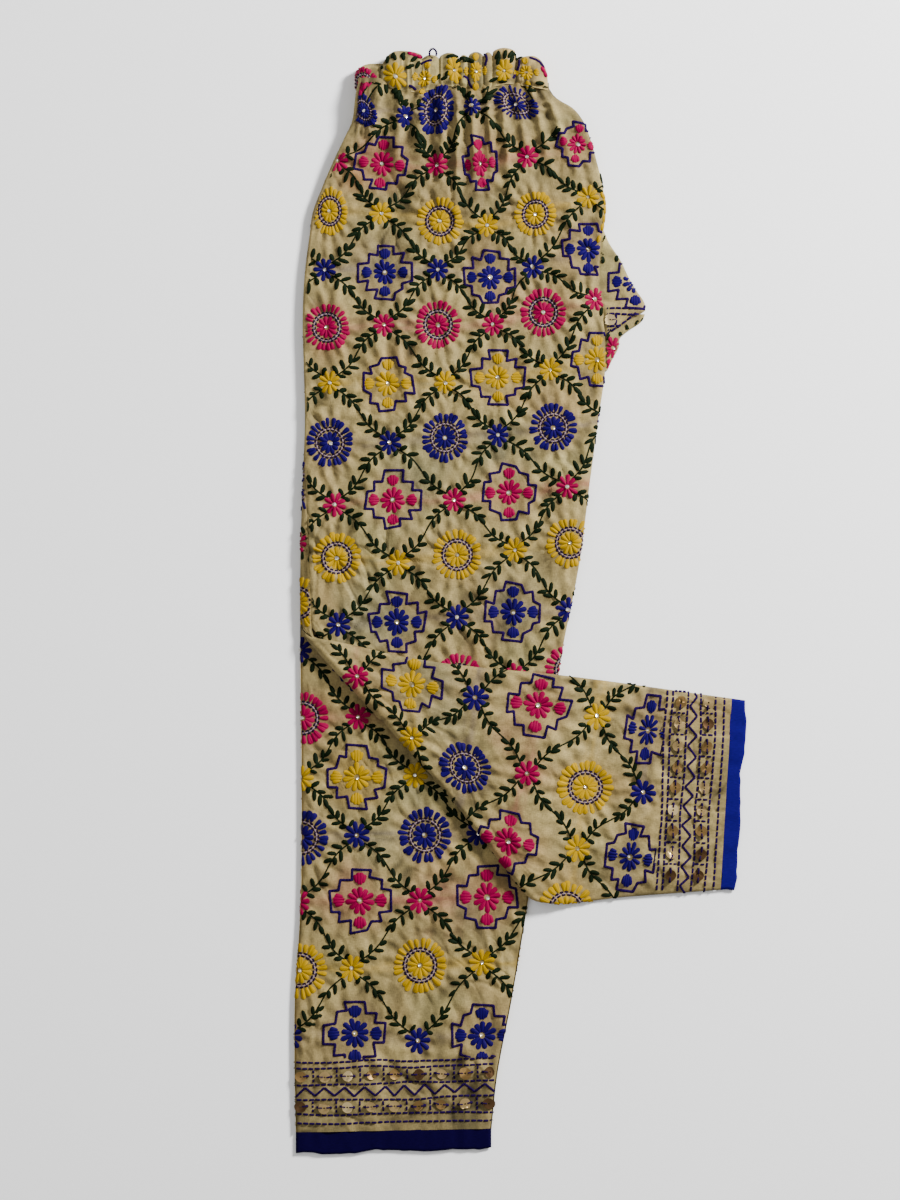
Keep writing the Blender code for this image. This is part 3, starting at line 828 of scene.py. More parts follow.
def stretched_noise(nodes, links, scale, detail):
    """A noise texture over the cloth's own coordinates, with a scale along each of them."""
    place = nodes.new("ShaderNodeUVMap")
    place.uv_map = "cloth"
    mapping = nodes.new("ShaderNodeMapping")
    mapping.inputs["Scale"].default_value = (*scale, 1.0)
    links.new(place.outputs["UV"], mapping.inputs["Vector"])
    texture = nodes.new("ShaderNodeTexNoise")
    texture.inputs["Scale"].default_value = 1.0
    texture.inputs["Detail"].default_value = detail
    links.new(mapping.outputs["Vector"], texture.inputs["Vector"])
    return texture.outputs["Fac"]


def ramp_between(nodes, links, source, low, high, start=0.3, end=0.7):
    """A ramp between two greys or two colours over part of a texture's range."""
    ramp = nodes.new("ShaderNodeValToRGB")
    for element, position, colour in zip(ramp.color_ramp.elements, (start, end), (low, high)):
        element.position = position
        element.color = (*np.broadcast_to(colour, 3), 1.0)
    links.new(source, ramp.inputs["Fac"])
    return ramp.outputs["Color"]


def multiplied(nodes, links, first, second):
    mix = nodes.new("ShaderNodeMix")
    mix.data_type = "RGBA"
    mix.blend_type = "MULTIPLY"
    mix.inputs["Factor"].default_value = 1.0
    links.new(first, mix.inputs["A"])
    links.new(second, mix.inputs["B"])
    return mix.outputs["Result"]


def add_bump(nodes, links, shader, height, strength, distance):
    bump = nodes.new("ShaderNodeBump")
    bump.inputs["Strength"].default_value = strength
    bump.inputs["Distance"].default_value = distance
    links.new(height, bump.inputs["Height"])
    links.new(bump.outputs["Normal"], shader.inputs["Normal"])


def cloth_material(name):
    """Slubby silk-cotton: the tint painted on the mesh, which holds painted shade, with fine threads both
    ways and a soft sheen.
    """
    material, nodes, links, shader = new_material(name, 0.75)
    warp = stretched_noise(nodes, links, (1700.0, 380.0), 2.0)
    weft = stretched_noise(nodes, links, (190.0, 1900.0), 3.0)
    crumple = stretched_noise(nodes, links, (105.0, 58.0), 7.0)
    colour = painted_tint(nodes)
    for thread in (warp, weft):
        colour = multiplied(nodes, links, colour, ramp_between(nodes, links, thread, 0.80, 1.15))
    # Painted shade: the crumple noise that bumps the cloth also darkens its colour in its hollows
    shade = ramp_between(nodes, links, crumple, 0.70, 1.18, 0.34, 0.60)
    links.new(multiplied(nodes, links, colour, shade), shader.inputs["Base Color"])
    add_bump(nodes, links, shader, crumple, 0.7, 1.4 * MM)
    shader.inputs["Specular IOR Level"].default_value = 0.12
    shader.inputs["Sheen Weight"].default_value = 0.03
    shader.inputs["Sheen Roughness"].default_value = 0.5
    return material


def thread_material(name, colour, roughness, light):
    """Silk embroidery thread: strands along each stitch, painted darker between them and lighter on their
    crowns, as painted shade and sheen.
    """
    material, nodes, links, shader = new_material(name, roughness)
    strands = stretched_noise(nodes, links, (0.7, 5.5), 1.0)
    # Painted sheen and shade: the strands run from a darker copy of the colour to a lighter one
    crown = np.minimum(colour * light, 1.0)
    silk = ramp_between(nodes, links, strands, colour * 0.5, crown, 0.32, 0.75)
    links.new(silk, shader.inputs["Base Color"])
    add_bump(nodes, links, shader, strands, 0.5, 0.3 * MM)
    shader.inputs["Specular IOR Level"].default_value = THREAD_GLOSS
    return material


def sequin_material(name, colour, roughness):
    material, nodes, links, shader = new_material(name, roughness)
    scratches = stretched_noise(nodes, links, (3.0, 3.0), 3.0)
    bright = np.minimum(colour * 1.15, 1.0)
    metal = ramp_between(nodes, links, scratches, colour * 0.75, bright, 0.0, 1.0)
    links.new(metal, shader.inputs["Base Color"])
    shader.inputs["Metallic"].default_value = 0.85
    return material


def band_material(name):
    """Plain satin cut on the grain, with faint ribs."""
    material, nodes, links, shader = new_material(name, 0.7)
    ribs = ramp_between(nodes, links, stretched_noise(nodes, links, (260.0, 1600.0), 2.0), 0.8, 1.2)
    links.new(multiplied(nodes, links, painted_tint(nodes), ribs), shader.inputs["Base Color"])
    shader.inputs["Specular IOR Level"].default_value = 0.02
    return material


# One satin binds both hems; the lower band's far darker colour is painted shade of the same satin
TURNED_BAND_COLOUR = np.array([0.006, 0.0, 0.086])
LOWER_BAND_PAINTED_SHADE = np.array([0.0020, 0.0, 0.019])
cloth_look = cloth_material("slub_cloth")
band_look = band_material("blue_satin")
thread_looks = {key: thread_material(key + "_thread", *value) for key, value in THREADS.items()}
sequin_looks = {
    "glint": sequin_material("small_sequins", srgb(235, 228, 215), 0.22),
    "sequin": sequin_material("champagne_sequins", srgb(142, 112, 66), 0.35),
    "cream_sequin": sequin_material("cream_sequins", srgb(196, 166, 112), 0.3),
    "bright_sequin": sequin_material("bright_sequins", srgb(236, 208, 152), 0.25),
    "dark_sequin": sequin_material("bronze_sequins", srgb(84, 60, 36), 0.35),
}


# Meshes

def build_mesh(name, points, faces, places, material, tints=None):
    """A smooth mesh with its cloth coordinates as UVs and, for cloth, a painted tint."""
    mesh = bpy.data.meshes.new(name)
    mesh.from_pydata(points.tolist(), [], faces.tolist())
    corners = np.empty(len(mesh.loops), np.int32)
    mesh.loops.foreach_get("vertex_index", corners)
    layer = mesh.uv_layers.new(name="cloth")
    layer.data.foreach_set("uv", places[corners].astype(np.float32).ravel())
    if tints is not None:
        painted = mesh.color_attributes.new("tint", "FLOAT_COLOR", "POINT")
        rgba = np.concatenate([tints, np.ones((len(tints), 1))], axis=1)
        painted.data.foreach_set("color", rgba.astype(np.float32).ravel())
    mesh.shade_smooth()
    mesh.materials.append(material)
    piece = bpy.data.objects.new(name, mesh)
    bpy.context.scene.collection.objects.link(piece)
    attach(piece, "root")
    return piece


def grid_faces(rows, columns):
    """Quads that face up when rows run down the leg and columns run to the right."""
    first = (np.arange(rows - 1)[:, None] * columns + np.arange(columns - 1)[None, :]).ravel()
    return np.stack([first, first + columns, first + columns + 1, first + 1], axis=1)


def stations_between(start, end, count):
    shares = np.linspace(0.0, 1.0, count)[:, None]
    return np.array(start) + (np.array(end) - np.array(start)) * shares


# The seed of each shell's tint, and the crinkles that its painted shade follows
FRONT_SEED = 3
TURNED_SEED = 13
LOWER_SEED = 23
EDGE_SEED = 33
TURNED_UNDER_SEED = 43
UNDER_SEED = 53
WAIST_SEED = 63
WAIST_LAYERS_SEED = 73
UPPER_GUSSET_SEED = 83
LOWER_GUSSET_SEED = 93
CASING_SEEDS = (WAIST_SEED, WAIST_LAYERS_SEED)
SHADE_SEEDS = {
    FRONT_SEED: FRONT_CRINKLES,
    EDGE_SEED: FRONT_CRINKLES,
    TURNED_SEED: TURNED_CRINKLES,
    LOWER_SEED: LOWER_CRINKLES,
    UNDER_SEED: UNDER_CRINKLES,
    UPPER_GUSSET_SEED: UPPER_GUSSET_CRINKLES,
    LOWER_GUSSET_SEED: LOWER_GUSSET_CRINKLES,
}

# Old stains and the shade of dyes that ran, and on the front some umber patches just below the waist that are
# also painted shade in its folds: pixels, radius in millimetres, how strong, and the colour
Stain = namedtuple("Stain", "x y radius strength colour")
RUST = np.array([0.200, 0.088, 0.036])
UMBER = np.array([0.120, 0.078, 0.034])
SLATE = np.array([0.105, 0.104, 0.062])
ROSE = np.array([0.230, 0.092, 0.060])
FRONT_STAINS_AND_FOLD_SHADE = rows_of(
    Stain,
    (352, 178, 13, 0.75, RUST),
    (366, 150, 10, 0.35, ROSE),
    # Umber stains below the waist that also stand in for the shade of the folds there, as painted shade
    (440, 168, 20, 0.60, UMBER),
    (470, 200, 22, 0.50, UMBER),
    (505, 212, 14, 0.50, UMBER),
    (478, 124, 11, 0.45, UMBER),
    (462, 102, 9, 0.50, UMBER),
    (408, 148, 14, 0.40, UMBER),
    (560, 215, 15, 0.35, UMBER),
    (500, 150, 16, 0.30, RUST),
    (375, 262, 26, 0.35, SLATE),
    (505, 300, 15, 0.35, ROSE),
    (420, 478, 26, 0.40, SLATE),
    (500, 450, 22, 0.45, SLATE),
    (372, 620, 30, 0.50, SLATE),
    (505, 600, 26, 0.45, SLATE),
    (440, 628, 20, 0.30, UMBER),
)
LOWER_STAINS = rows_of(
    Stain,
    (415, 775, 22, 0.40, SLATE),
    (380, 845, 26, 0.35, SLATE),
    (345, 890, 22, 0.40, ROSE),
    (440, 895, 24, 0.35, ROSE),
    (470, 905, 16, 0.30, SLATE),
    (310, 1050, 20, 0.30, UMBER),
)
TURNED_STAINS = rows_of(
    Stain,
    (425, 668, 26, 0.50, SLATE),
    (445, 715, 20, 0.40, SLATE),
    (500, 735, 16, 0.30, ROSE),
    (530, 770, 14, 0.35, ROSE),
    (585, 650, 16, 0.25, UMBER),
    (505, 845, 14, 0.45, RUST),
)


# Each panel's stains, and how much darker its cloth is towards the hem from this far down
Markings = namedtuple("Markings", "stains to_cloth border_top darker")
MARKINGS = {
    FRONT_SEED: Markings(FRONT_STAINS_AND_FOLD_SHADE, as_seen, 0.0, 0.0),
    LOWER_SEED: Markings(LOWER_STAINS, as_seen, 876 * MM, 0.30),
    TURNED_SEED: Markings(TURNED_STAINS, unfold, 836 * MM, 0.10),
}
BORDER_FADE = 12 * MM

# The painted shade that the crinkles hold, and that of the valleys between the folds below the waist
MIDDLE_SHADE = 1.04
SHADE_DEPTH = 1.05
SHADE_LIMITS = (0.34, 1.26)
VALLEY_SHADE = 0.52
VALLEY_REACH = 42 * MM

# Light and dark patches: strength, then how wide and high they are in millimetres
MOTTLES = ((0.12, 60, 75), (0.10, 14, 22), (0.08, 3.5, 6))
# Broad washes of another colour, and how wide and high they are in millimetres
WASHES = ((BROWNED_CLOTH, 34, 44), (OLIVE_CLOTH, 42, 36))


def mixed(tint, colour, share):
    """Moves each tint towards a colour by its share."""
    tint += (colour - tint) * share[:, None]


def stained_and_shaded(tint, x, below, markings):
    # Stains, and on the front umber patches that are also painted shade in the folds below the waist
    for step, patch in enumerate(markings.stains):
        centre_x, centre_below = markings.to_cloth(*from_photo(patch.x, patch.y))
        ragged = 1.0 + 0.5 * grain(x, below, 9, 11, 200 + step)
        distance = np.hypot(x - centre_x, below - centre_below) / (patch.radius * MM * ragged)
        mixed(tint, patch.colour, patch.strength * bell(distance))


def show_through(tint, x, below, first, second, seed):
    """Thread carried behind the cloth from one motif to the next, seen through it."""
    share = (x - first.x) / (second.x - first.x)
    line = first.below + (second.below - first.below) * share
    inside = smooth(share * 8.0) * smooth((1.0 - share) * 8.0)
    wander = smooth(0.75 + 0.8 * grain(x, below, 13, 3, seed + 7))
    strength = 0.95 * inside * bell(below - line, 5.2 * MM) * wander
    strength *= 0.4 + 0.6 * hashed(first.row, first.column, seed)
    mixed(tint, THREADS[first.colour][0] * 0.45 + CLOTH_COLOUR * 0.62, strength)


def tint_of(x, below, motifs, seed):
    """The cloth's colour at each place: slubby and stained, darker towards some hems, with threads showing
    through from behind and painted shade in its crinkles, folds and pleats.
    """
    # Painted shade: the cloth is darker in the valleys of its sharper crinkles and lighter on their crests
    held = creases(x, below, SHADE_SEEDS.get(seed, seed)) / (2.4 * MM)
    shade = np.clip(MIDDLE_SHADE + SHADE_DEPTH * held, *SHADE_LIMITS)
    for step, (strength, wide, high) in enumerate(MOTTLES):
        shade += strength * grain(x, below, wide, high, seed + step)
    pleats = gathers(x, below) / MM
    if seed == FRONT_SEED:
        # Painted shade in the valleys between the folds below the waist, and in the pleats just under the
        # casing
        valley = 1.0 - np.clip(fold_relief(x, below) / (2.2 * MM), 0.0, 1.0)
        shade *= 1.0 - VALLEY_SHADE * valley * below_casing(below, VALLEY_REACH)
        shade *= 1.0 + np.clip(0.75 * pleats, -0.55, 0.1) * below_casing(below)
    if seed in CASING_SEEDS:
        # Painted shade in the casing's pleats
        shade *= np.clip(0.92 + 0.75 * pleats, 0.35, 1.15)
    markings = MARKINGS.get(seed)
    if markings:
        shade *= 1.0 - markings.darker * smooth((below - markings.border_top) / BORDER_FADE)
    tint = CLOTH_COLOUR * shade[:, None]
    for step, (colour, wide, high) in enumerate(WASHES, 8):
        wash = smooth(grain(x, below, wide, high, seed + step) * 1.5 - 0.25)
        mixed(tint, colour * shade[:, None], 0.5 * wash)
    for first in motifs:
        for second in motifs:
            if (second.row, second.column) == (first.row, first.column + 1):
                show_through(tint, x, below, first, second, seed)
    for motif in motifs:
        distance = np.hypot((x - motif.x) / motif.half_width, (below - motif.below) / motif.half_height)
        halo = np.exp(-((distance / 1.1) ** 6)) * (0.25 + 0.30 * hashed(motif.row, motif.column, seed + 3))
        mixed(tint, CLOTH_COLOUR * np.array([0.66, 0.56, 0.46]) + THREADS[motif.colour][0] * 0.22, halo)
    if markings:
        stained_and_shaded(tint, x, below, markings)
    return np.clip(tint, 0.0, 1.0)


LOWEST_CLOTH = 0.2 * MM
cut_sizes = {}
CutSize = namedtuple("CutSize", "width length area")


def cut_size(places, faces):
    """The size and area of a piece of cloth spread flat, from its places before folding."""
    x, y = places[faces][:, :, 0], places[faces][:, :, 1]
    doubled = (x[:, 0] - x[:, 2]) * (y[:, 1] - y[:, 3]) - (x[:, 1] - x[:, 3]) * (y[:, 0] - y[:, 2])
    width, length = places.max(axis=0) - places.min(axis=0)
    return CutSize(width, length, 0.5 * np.abs(doubled).sum())


def fanned(stations, left, right, shares):
    """Rows of places across the cloth, from the left edge's stations to the right edge's."""
    start_x = left(stations[:, :1])
    x = start_x + (right(stations[:, 1:]) - start_x) * shares
    return x, stations[:, :1] + (stations[:, 1:] - stations[:, :1]) * shares


def add_shell(name, node, surface, stations, left, right, columns, seed, motifs=(), flip=1):
    """A cloth shell in place of a node, through fan-wise stations, from its left edge to its right one."""
    x, below = fanned(stations, left, right, np.linspace(0.0, 1.0, columns))
    x = x.ravel()
    below = below.ravel()
    points = surface(x, below)
    points[:, 2] = np.maximum(points[:, 2], LOWEST_CLOTH)
    faces = grid_faces(len(stations), columns)[:, ::flip]
    places = np.stack([x, below], axis=1)
    cut_sizes[name] = cut_size(places, faces)
    shell = build_mesh(name, points, faces, places, cloth_look, tint_of(x, below, motifs, seed))
    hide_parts(node)
    return shell


def shifted(edge, by):
    return lambda below: edge(below) + by


def level_stations(top, bottom, count):
    return stations_between((top, top), (bottom, bottom), count)


def constant(value):
    return lambda below: np.full(np.shape(below), value)


casing_seam = (CASING_DEPTH - 5 * MM, CASING_DEPTH - 5 * MM)
crease_front = beside_crease(left_leg, 0.5 * MM)
roll_start = beside_crease(left_leg, -4 * MM)
roll_end = beside_crease(left_leg, np.pi * ROLL_RADIUS + 2 * MM)


def past_crease(start, roll_count, leg_count):
    """Stations close together round the crease, then further apart down to the left hem."""
    roll = stations_between(start, roll_end, roll_count)[:-1]
    return np.concatenate([roll, stations_between(roll_end, LEFT_HEM, leg_count)])


front_cloth = add_shell(
    "left_front_cloth",
    "left_front",
    front_surface,
    stations_between(casing_seam, crease_front, 390),
    outseam,
    shifted(left_leg.right, RIM_SPARE),
    columns=165,
    motifs=front_motifs,
    seed=FRONT_SEED,
)
edge_cloth = add_shell(
    "left_back_edge_cloth",
    "hidden_layers",
    front_surface,
    stations_between(casing_seam, crease_front, 300),
    shifted(left_leg.left, -RIM_SPARE),
    outseam,
    columns=14,
    motifs=edge_motifs,
    seed=EDGE_SEED,
)
turned_cloth = add_shell(
    "left_back_cloth",
    "left_back",
    turned_surface,
    past_crease(roll_start, 18, 160),
    shifted(left_leg.left, -RIM_SPARE),
    shifted(left_leg.right, RIM_SPARE),
    columns=120,
    motifs=turned_motifs,
    seed=TURNED_SEED,
    flip=-1,
)
turned_under_cloth = add_shell(
    "left_front_turned_cloth",
    "left_front",
    turned_under_surface,
    past_crease(crease_front, 10, 90),
    shifted(left_leg.left, 1.2 * MM),
    shifted(left_leg.right, -1.2 * MM),
    columns=70,
    motifs=turned_motifs,
    seed=TURNED_UNDER_SEED,
)
lower_cloth = add_shell(
    "right_back_cloth",
    "right_back",
    lower_surface,
    stations_between(beside_crease(right_leg, -10 * MM), RIGHT_HEM, 270),
    shifted(stack_left, -RIM_SPARE),
    shifted(stack_right, RIM_SPARE),
    columns=120,
    motifs=lower_motifs,
    seed=LOWER_SEED,
)
under_cloth = add_shell(
    "right_front_cloth",
    "hidden_layers",
    under_surface,
    stations_between(casing_seam, RIGHT_HEM, 330),
    shifted(stack_left, -RIM_SPARE),
    shifted(stack_right, RIM_SPARE),
    columns=100,
    motifs=under_motifs,
    seed=UNDER_SEED,
    flip=-1,
)

INNER_INSET = 2.4 * MM
INNER_TOP = 2.85
INNER_BOTTOM = 1.2 * MM
# Painted shade: the inner layers are the same cloth, darkened for lying between the outer shells
INNER_PAINTED_SHADE = 0.8


def add_inner_layers():
    """The layers between the outer shells, as one closed tube set back from the edges."""
    rows = 60
    columns = 12
    stations = stations_between(casing_seam, beside_crease(right_leg, -12 * MM), rows)
    shares = np.linspace(0.0, 1.0, columns)
    ring = np.concatenate([shares, shares[::-1]])
    x, below = fanned(stations, shifted(stack_left, INNER_INSET), shifted(stack_right, -INNER_INSET), ring)
    height = np.full(x.shape, INNER_BOTTOM)
    height[:, :columns] = INNER_TOP * pitch(below[:, :columns])
    points = to_frame(x, below, height).reshape(-1, 3)
    start = np.arange(rows - 1)[:, None] * len(ring)
    first = start + np.arange(len(ring))
    second = start + (np.arange(len(ring)) + 1) % len(ring)
    faces = np.stack([first, first + len(ring), second + len(ring), second], axis=-1).reshape(-1, 4)
    places = np.stack([x, below], axis=-1).reshape(-1, 2)
    tints = np.tile(CLOTH_COLOUR * INNER_PAINTED_SHADE, (len(places), 1))
    spread = cut_size(places, faces)
    cut_sizes["inner_layers_cloth"] = CutSize(2 * spread.width, spread.length, spread.area)
    cloth = build_mesh("inner_layers_cloth", points, faces, places, cloth_look, tints)
    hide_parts("hidden_layers")
    return cloth


inner_cloth = add_inner_layers()
waistband_cloth = add_shell(
    "waistband_front_cloth",
    "waistband_front",
    waist_surface,
    level_stations(-5 * MM, CASING_DEPTH + 1 * MM, 60),
    constant(CASING_LEFT - 5 * MM),
    constant(CASING_RIGHT + 5 * MM),
    columns=260,
    seed=WAIST_SEED,
)
waist_layers_cloth = add_shell(
    "waistband_layers_cloth",
    "waistband_layers",
    waist_layers_surface,
    level_stations(HIDDEN_CASING_TOP - 10 * MM, CASING_DEPTH + 1 * MM, 40),
    constant(HIDDEN_CASING_LEFT - 8 * MM),
    constant(HIDDEN_CASING_RIGHT + 8 * MM),
    columns=180,
    seed=WAIST_LAYERS_SEED,
)
upper_gusset_cloth = add_shell(
    "crotch_gusset_upper_cloth",
    "crotch_gusset_upper",
    upper_gusset_surface,
    level_stations(GUSSET_TOP - 4 * MM, GUSSET_JOIN - 0.5 * MM, 60),
    shifted(stack_right, -1.5 * MM),
    upper_gusset_right,
    columns=28,
    seed=UPPER_GUSSET_SEED,
)
lower_gusset_cloth = add_shell(
    "crotch_gusset_lower_cloth",
    "crotch_gusset_lower",
    lower_gusset_surface,
    level_stations(GUSSET_TIP + 3 * MM, GUSSET_BOTTOM, 40),
    shifted(stack_right, -1.5 * MM),
    gusset_outer,
    columns=24,
    seed=LOWER_GUSSET_SEED,
)


# The blue bands that bind the hems

def add_band(name, node, leg, to_place, colour):
    """A flattened tube of cloth round a hem: a top layer and an under one, rounded at the edges."""
    across = 110
    rows = 14
    shares = np.linspace(0.0, 1.0, across)
    steps = np.linspace(0.0, 1.0, rows)[:, None]
    x, below = fanned(stations_between(leg.hem, leg.band_end, rows), leg.left, leg.right, shares)
    below = below + 2.4 * MM * noise(x / (21 * MM), 0.5, 92) * steps + 0.7 * MM * noise(x / (6 * MM), 0.5, 93)
    edge = rounded(np.minimum(shares, 1.0 - shares) / 0.012)
    rim = 0.35 + 0.65 * rounded((1.0 - steps) / 0.1)
    ripple = 0.5 * MM * grain(x, below, 7, 20, 91) * edge
    seen_x, seen_below = to_place(x, below)
    top = to_frame(seen_x, seen_below, 1.9 * MM + (1.6 * MM * edge + ripple) * rim)
    low = to_frame(seen_x, seen_below, 1.8 * MM - 1.5 * MM * edge * rim)
    points = np.concatenate([top, low[::-1]]).reshape(-1, 3)
    tints = np.tile(colour, (len(points), 1))
    circumference = 2 * (leg.right(leg.hem[1]) - leg.left(leg.hem[0]))
    depth = (leg.band_end[0] + leg.band_end[1] - leg.hem[0] - leg.hem[1]) / 2
    cut_sizes[name] = CutSize(circumference, depth, circumference * depth)
    band = build_mesh(name, points, grid_faces(2 * rows, across), points[:, :2], band_look, tints)
    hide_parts(node)
    return band


def turned_place(x, below):
    return turn_back(x, below, ROLL_RADIUS)[:2]


# The lower band takes the satin's painted shade colour
right_band = add_band("right_hem_band_cloth", "right_hem_band", right_leg, as_seen, LOWER_BAND_PAINTED_SHADE)
left_band = add_band("left_hem_band_cloth", "left_hem_band", left_leg, turned_place, TURNED_BAND_COLOUR)


# Stitches

class Stitches:
    """Stitches of one colour, gathered as small grids of X, below and height over the cloth."""

    def __init__(self):
        self.points = []
        self.faces = []
        self.places = []
        self.count = 0

    def add_grids(self, grids, places):
        """Grids of shape (number, rows, columns, 3), with matching UV places of two values."""
        number, rows, columns = grids.shape[:3]
        first = self.count + np.arange(number) * rows * columns
        faces = grid_faces(rows, columns)[None] + first[:, None, None]
        self.points.append(grids.reshape(-1, 3))
        self.places.append(places.reshape(-1, 2))
        self.faces.append(faces.reshape(-1, 4))
        self.count += number * rows * columns


# How a stitch widens and rises along its length and across it, and the step between strands of two stitches
Form = namedtuple("Form", "shares widths heights across across_heights steps")
PETAL = Form(
    (0.0, 0.15, 0.5, 0.84, 1.0),
    (0.34, 0.62, 0.92, 1.0, 0.45),
    (0.35, 0.85, 1.0, 0.9, 0.3),
    (-1.0, -0.55, 0.0, 0.55, 1.0),
    (-0.25, 0.72, 1.0, 0.72, -0.25),
    (1.7, 2.3),
)
LEAF = PETAL._replace(widths=(0.28, 0.82, 1.0, 0.78, 0.16))
DASH = Form(
    (0.0, 0.18, 0.82, 1.0),
    (0.7, 1.0, 1.0, 0.7),
    (0.1, 0.95, 0.95, 0.1),
    (-1.0, 0.0, 1.0),
    (-0.3, 1.0, -0.3),
    (1.3, 0.9),
)
PETAL_HEIGHT = 0.75 * MM


def sew(stitches, form, start, end, width, height=PETAL_HEIGHT):
    """Stitches of one form, each from its start to its end, given as arrays of places."""
    shares, widths, heights, across, across_heights, steps = map(np.array, form)
    start = np.atleast_2d(start)
    end = np.atleast_2d(end)
    width = np.broadcast_to(width, len(start))
    along = end - start
    length = np.linalg.norm(along, axis=1, keepdims=True)
    side = np.stack([-along[:, 1], along[:, 0]], axis=1) / np.maximum(length, 1e-9)
    middle = start[:, None, :] + along[:, None, :] * shares[:, None]
    reach = across[:, None] * (0.5 * width[:, None] * widths)[:, :, None, None]
    flat = middle[:, :, None, :] + side[:, None, None, :] * reach
    lift = np.broadcast_to(height * heights[:, None] * across_heights, flat.shape[:-1])
    number = np.arange(len(start))[:, None, None]
    places = np.broadcast_arrays(shares[:, None] + number * steps[0], across + number * steps[1])
    stitches.add_grids(np.concatenate([flat, lift[..., None]], axis=-1), np.stack(places, axis=-1))


# How a line is sewn, in millimetres: the pitch of its stitches, the gap between two (less than nought where
# they overlap), their width and height, and how far they stray
Line = namedtuple("Line", "pitch gap width height stray")
CROSS_LINE = Line(3.2, -0.5, 2.4, 0.9, 0.0)
STEM = Line(3.4, -0.4, 1.4, 0.6, 0.0)
RUNNING = Line(5.4, 1.0, 1.95, 0.9, 0.4)
ZIGZAG_LINE = Line(3.4, -0.4, 2.1, 0.9, 0.0)
DIVIDER = Line(4.2, 1.2, 1.8, 0.9, 0.3)
SIDE_STITCH = Line(6.0, 0.0, 2.6, 3.4, 0.0)
WAIST_LINE = Line(3.0, -0.4, 2.2, 0.9, 0.3)
CORNER_LINE = Line(3.0, -0.4, 2.4, 1.3, 0.3)
CORNER_HEM = Line(4.0, -0.5, 2.0, 0.9, 0.3)
GUSSET_LINE = RUNNING._replace(width=2.1)
GUSSET_SIDE_STITCH = Line(5.0, 0.0, 2.2, 2.6, 0.0)


def sew_line(stitches, points, line, seed=0):
    """Cuts a path into single straight stitches, each a short rounded ridge."""
    points = np.array(points, float)
    lengths = np.linalg.norm(np.diff(points, axis=0), axis=1)
    reach = np.concatenate([[0.0], np.cumsum(lengths)])
    count = max(1, int(round(reach[-1] / (line.pitch * MM))))
    marks = np.linspace(0.0, reach[-1], count + 1)
    ends = []
    for mark in (marks[:-1], marks[1:] - line.gap * MM):
        place = np.stack([np.interp(mark, reach, points[:, 0]), np.interp(mark, reach, points[:, 1])], axis=1)
        wobble = np.stack([hashed(mark * 3e3, seed, 1), hashed(mark * 3e3, seed, 2)], axis=1) - 0.5
        ends.append(place + wobble * line.stray * MM)
    sew(stitches, DASH, *ends, line.width * MM, line.height * MM)


def traced(path):
    """A path of the photograph's pixels, on the cloth."""
    return [from_photo(*pixel) for pixel in path]


def sew_leaves(stitches, leaves, width):
    """Single leaves, each at a pixel of the photograph and with a heading and a length of its own."""
    for leaf in leaves:
        start = np.array(from_photo(leaf.x, leaf.y))
        angle = np.radians(leaf.angle)
        tip = start + 1.3 * leaf.length * PIXEL * np.array([np.cos(angle), np.sin(angle)])
        sew(stitches, LEAF, start, tip, width, 0.9 * MM)


def around(count, turn=0.0):
    return np.arange(count) * 2 * np.pi / count + turn


def spread(angle, radius):
    """Places round a centre, the first one towards the hem."""
    return np.stack([np.sin(angle) * radius, np.cos(angle) * radius], axis=1)


def rotation(angle):
    return np.array([[np.cos(angle), -np.sin(angle)], [np.sin(angle), np.cos(angle)]])


def motif_place(motif):
    """Maps a motif's own plane, in units of its half size, to the cloth."""
    size = np.array([motif.half_width, motif.half_height])
    turn = rotation(motif.turn)
    return lambda local: np.array([motif.x, motif.below]) + (np.asarray(local) * size) @ turn.T


def uneven(count, seed, amount):
    """Small repeatable differences between a motif's petals."""
    return 1.0 + amount * (2.0 * hashed(np.arange(count), seed, 3) - 1.0)


def sew_petals(kit, motif, angles, inner, outer, width):
    """A ring of petals in a motif's own colour, between two radii."""
    place = motif_place(motif)
    sew(kit[motif.colour], PETAL, place(spread(angles, inner)), place(spread(angles, outer)), width)


Ring = namedtuple("Ring", "colour radius count width share turn")
WHEEL_RINGS = (
    Ring("dark", 0.62, 21, 1.9, 0.72, 0.0),
    Ring("pale", 0.565, 21, 1.2, 0.8, 0.12),
    Ring("dark", 0.515, 17, 1.8, 0.7, 0.2),
)


def add_wheel(kit, motif):
    place = motif_place(motif)
    seed = motif.x * 700 + motif.below * 300
    petals = 25
    angles = around(petals, seed) + 0.06 * (uneven(petals, seed, 1.0) - 1.0)
    width = 0.195 * motif.half_height * uneven(petals, seed + 4, 0.22)
    sew_petals(kit, motif, angles, inner=0.655, outer=uneven(petals, seed + 1, 0.05), width=width)
    for ring in WHEEL_RINGS:
        start = around(ring.count, ring.turn)
        end = start + 2 * np.pi / ring.count * ring.share
        ends = place(spread(start, ring.radius)), place(spread(end, ring.radius))
        sew(kit[ring.colour], DASH, *ends, ring.width * MM, 0.5 * MM)
    petals = 11
    tips = 0.46 * uneven(petals, seed + 2, 0.06)
    sew_petals(kit, motif, around(petals, seed + 1), 0.10, tips, 0.19 * motif.half_height)
    add_centre(kit, place, motif)


CROSS_CORNERS = ((0.31, 1.0), (0.33, 0.70), (0.66, 0.68), (0.68, 0.36), (1.0, 0.33))
CROSS_WANDER = 0.075
# The gathers hide most of the outlines from this row up, so what shows of them is drawn on its own
CASING_ROW = 16


def cross_outline():
    """The stepped cross, once round, from its corners in one quarter."""
    quarters = [np.array(CROSS_CORNERS) @ rotation(-quarter * np.pi / 2).T for quarter in range(4)]
    return np.concatenate([*quarters, quarters[0][:1]])


CROSS_OUTLINE = cross_outline()


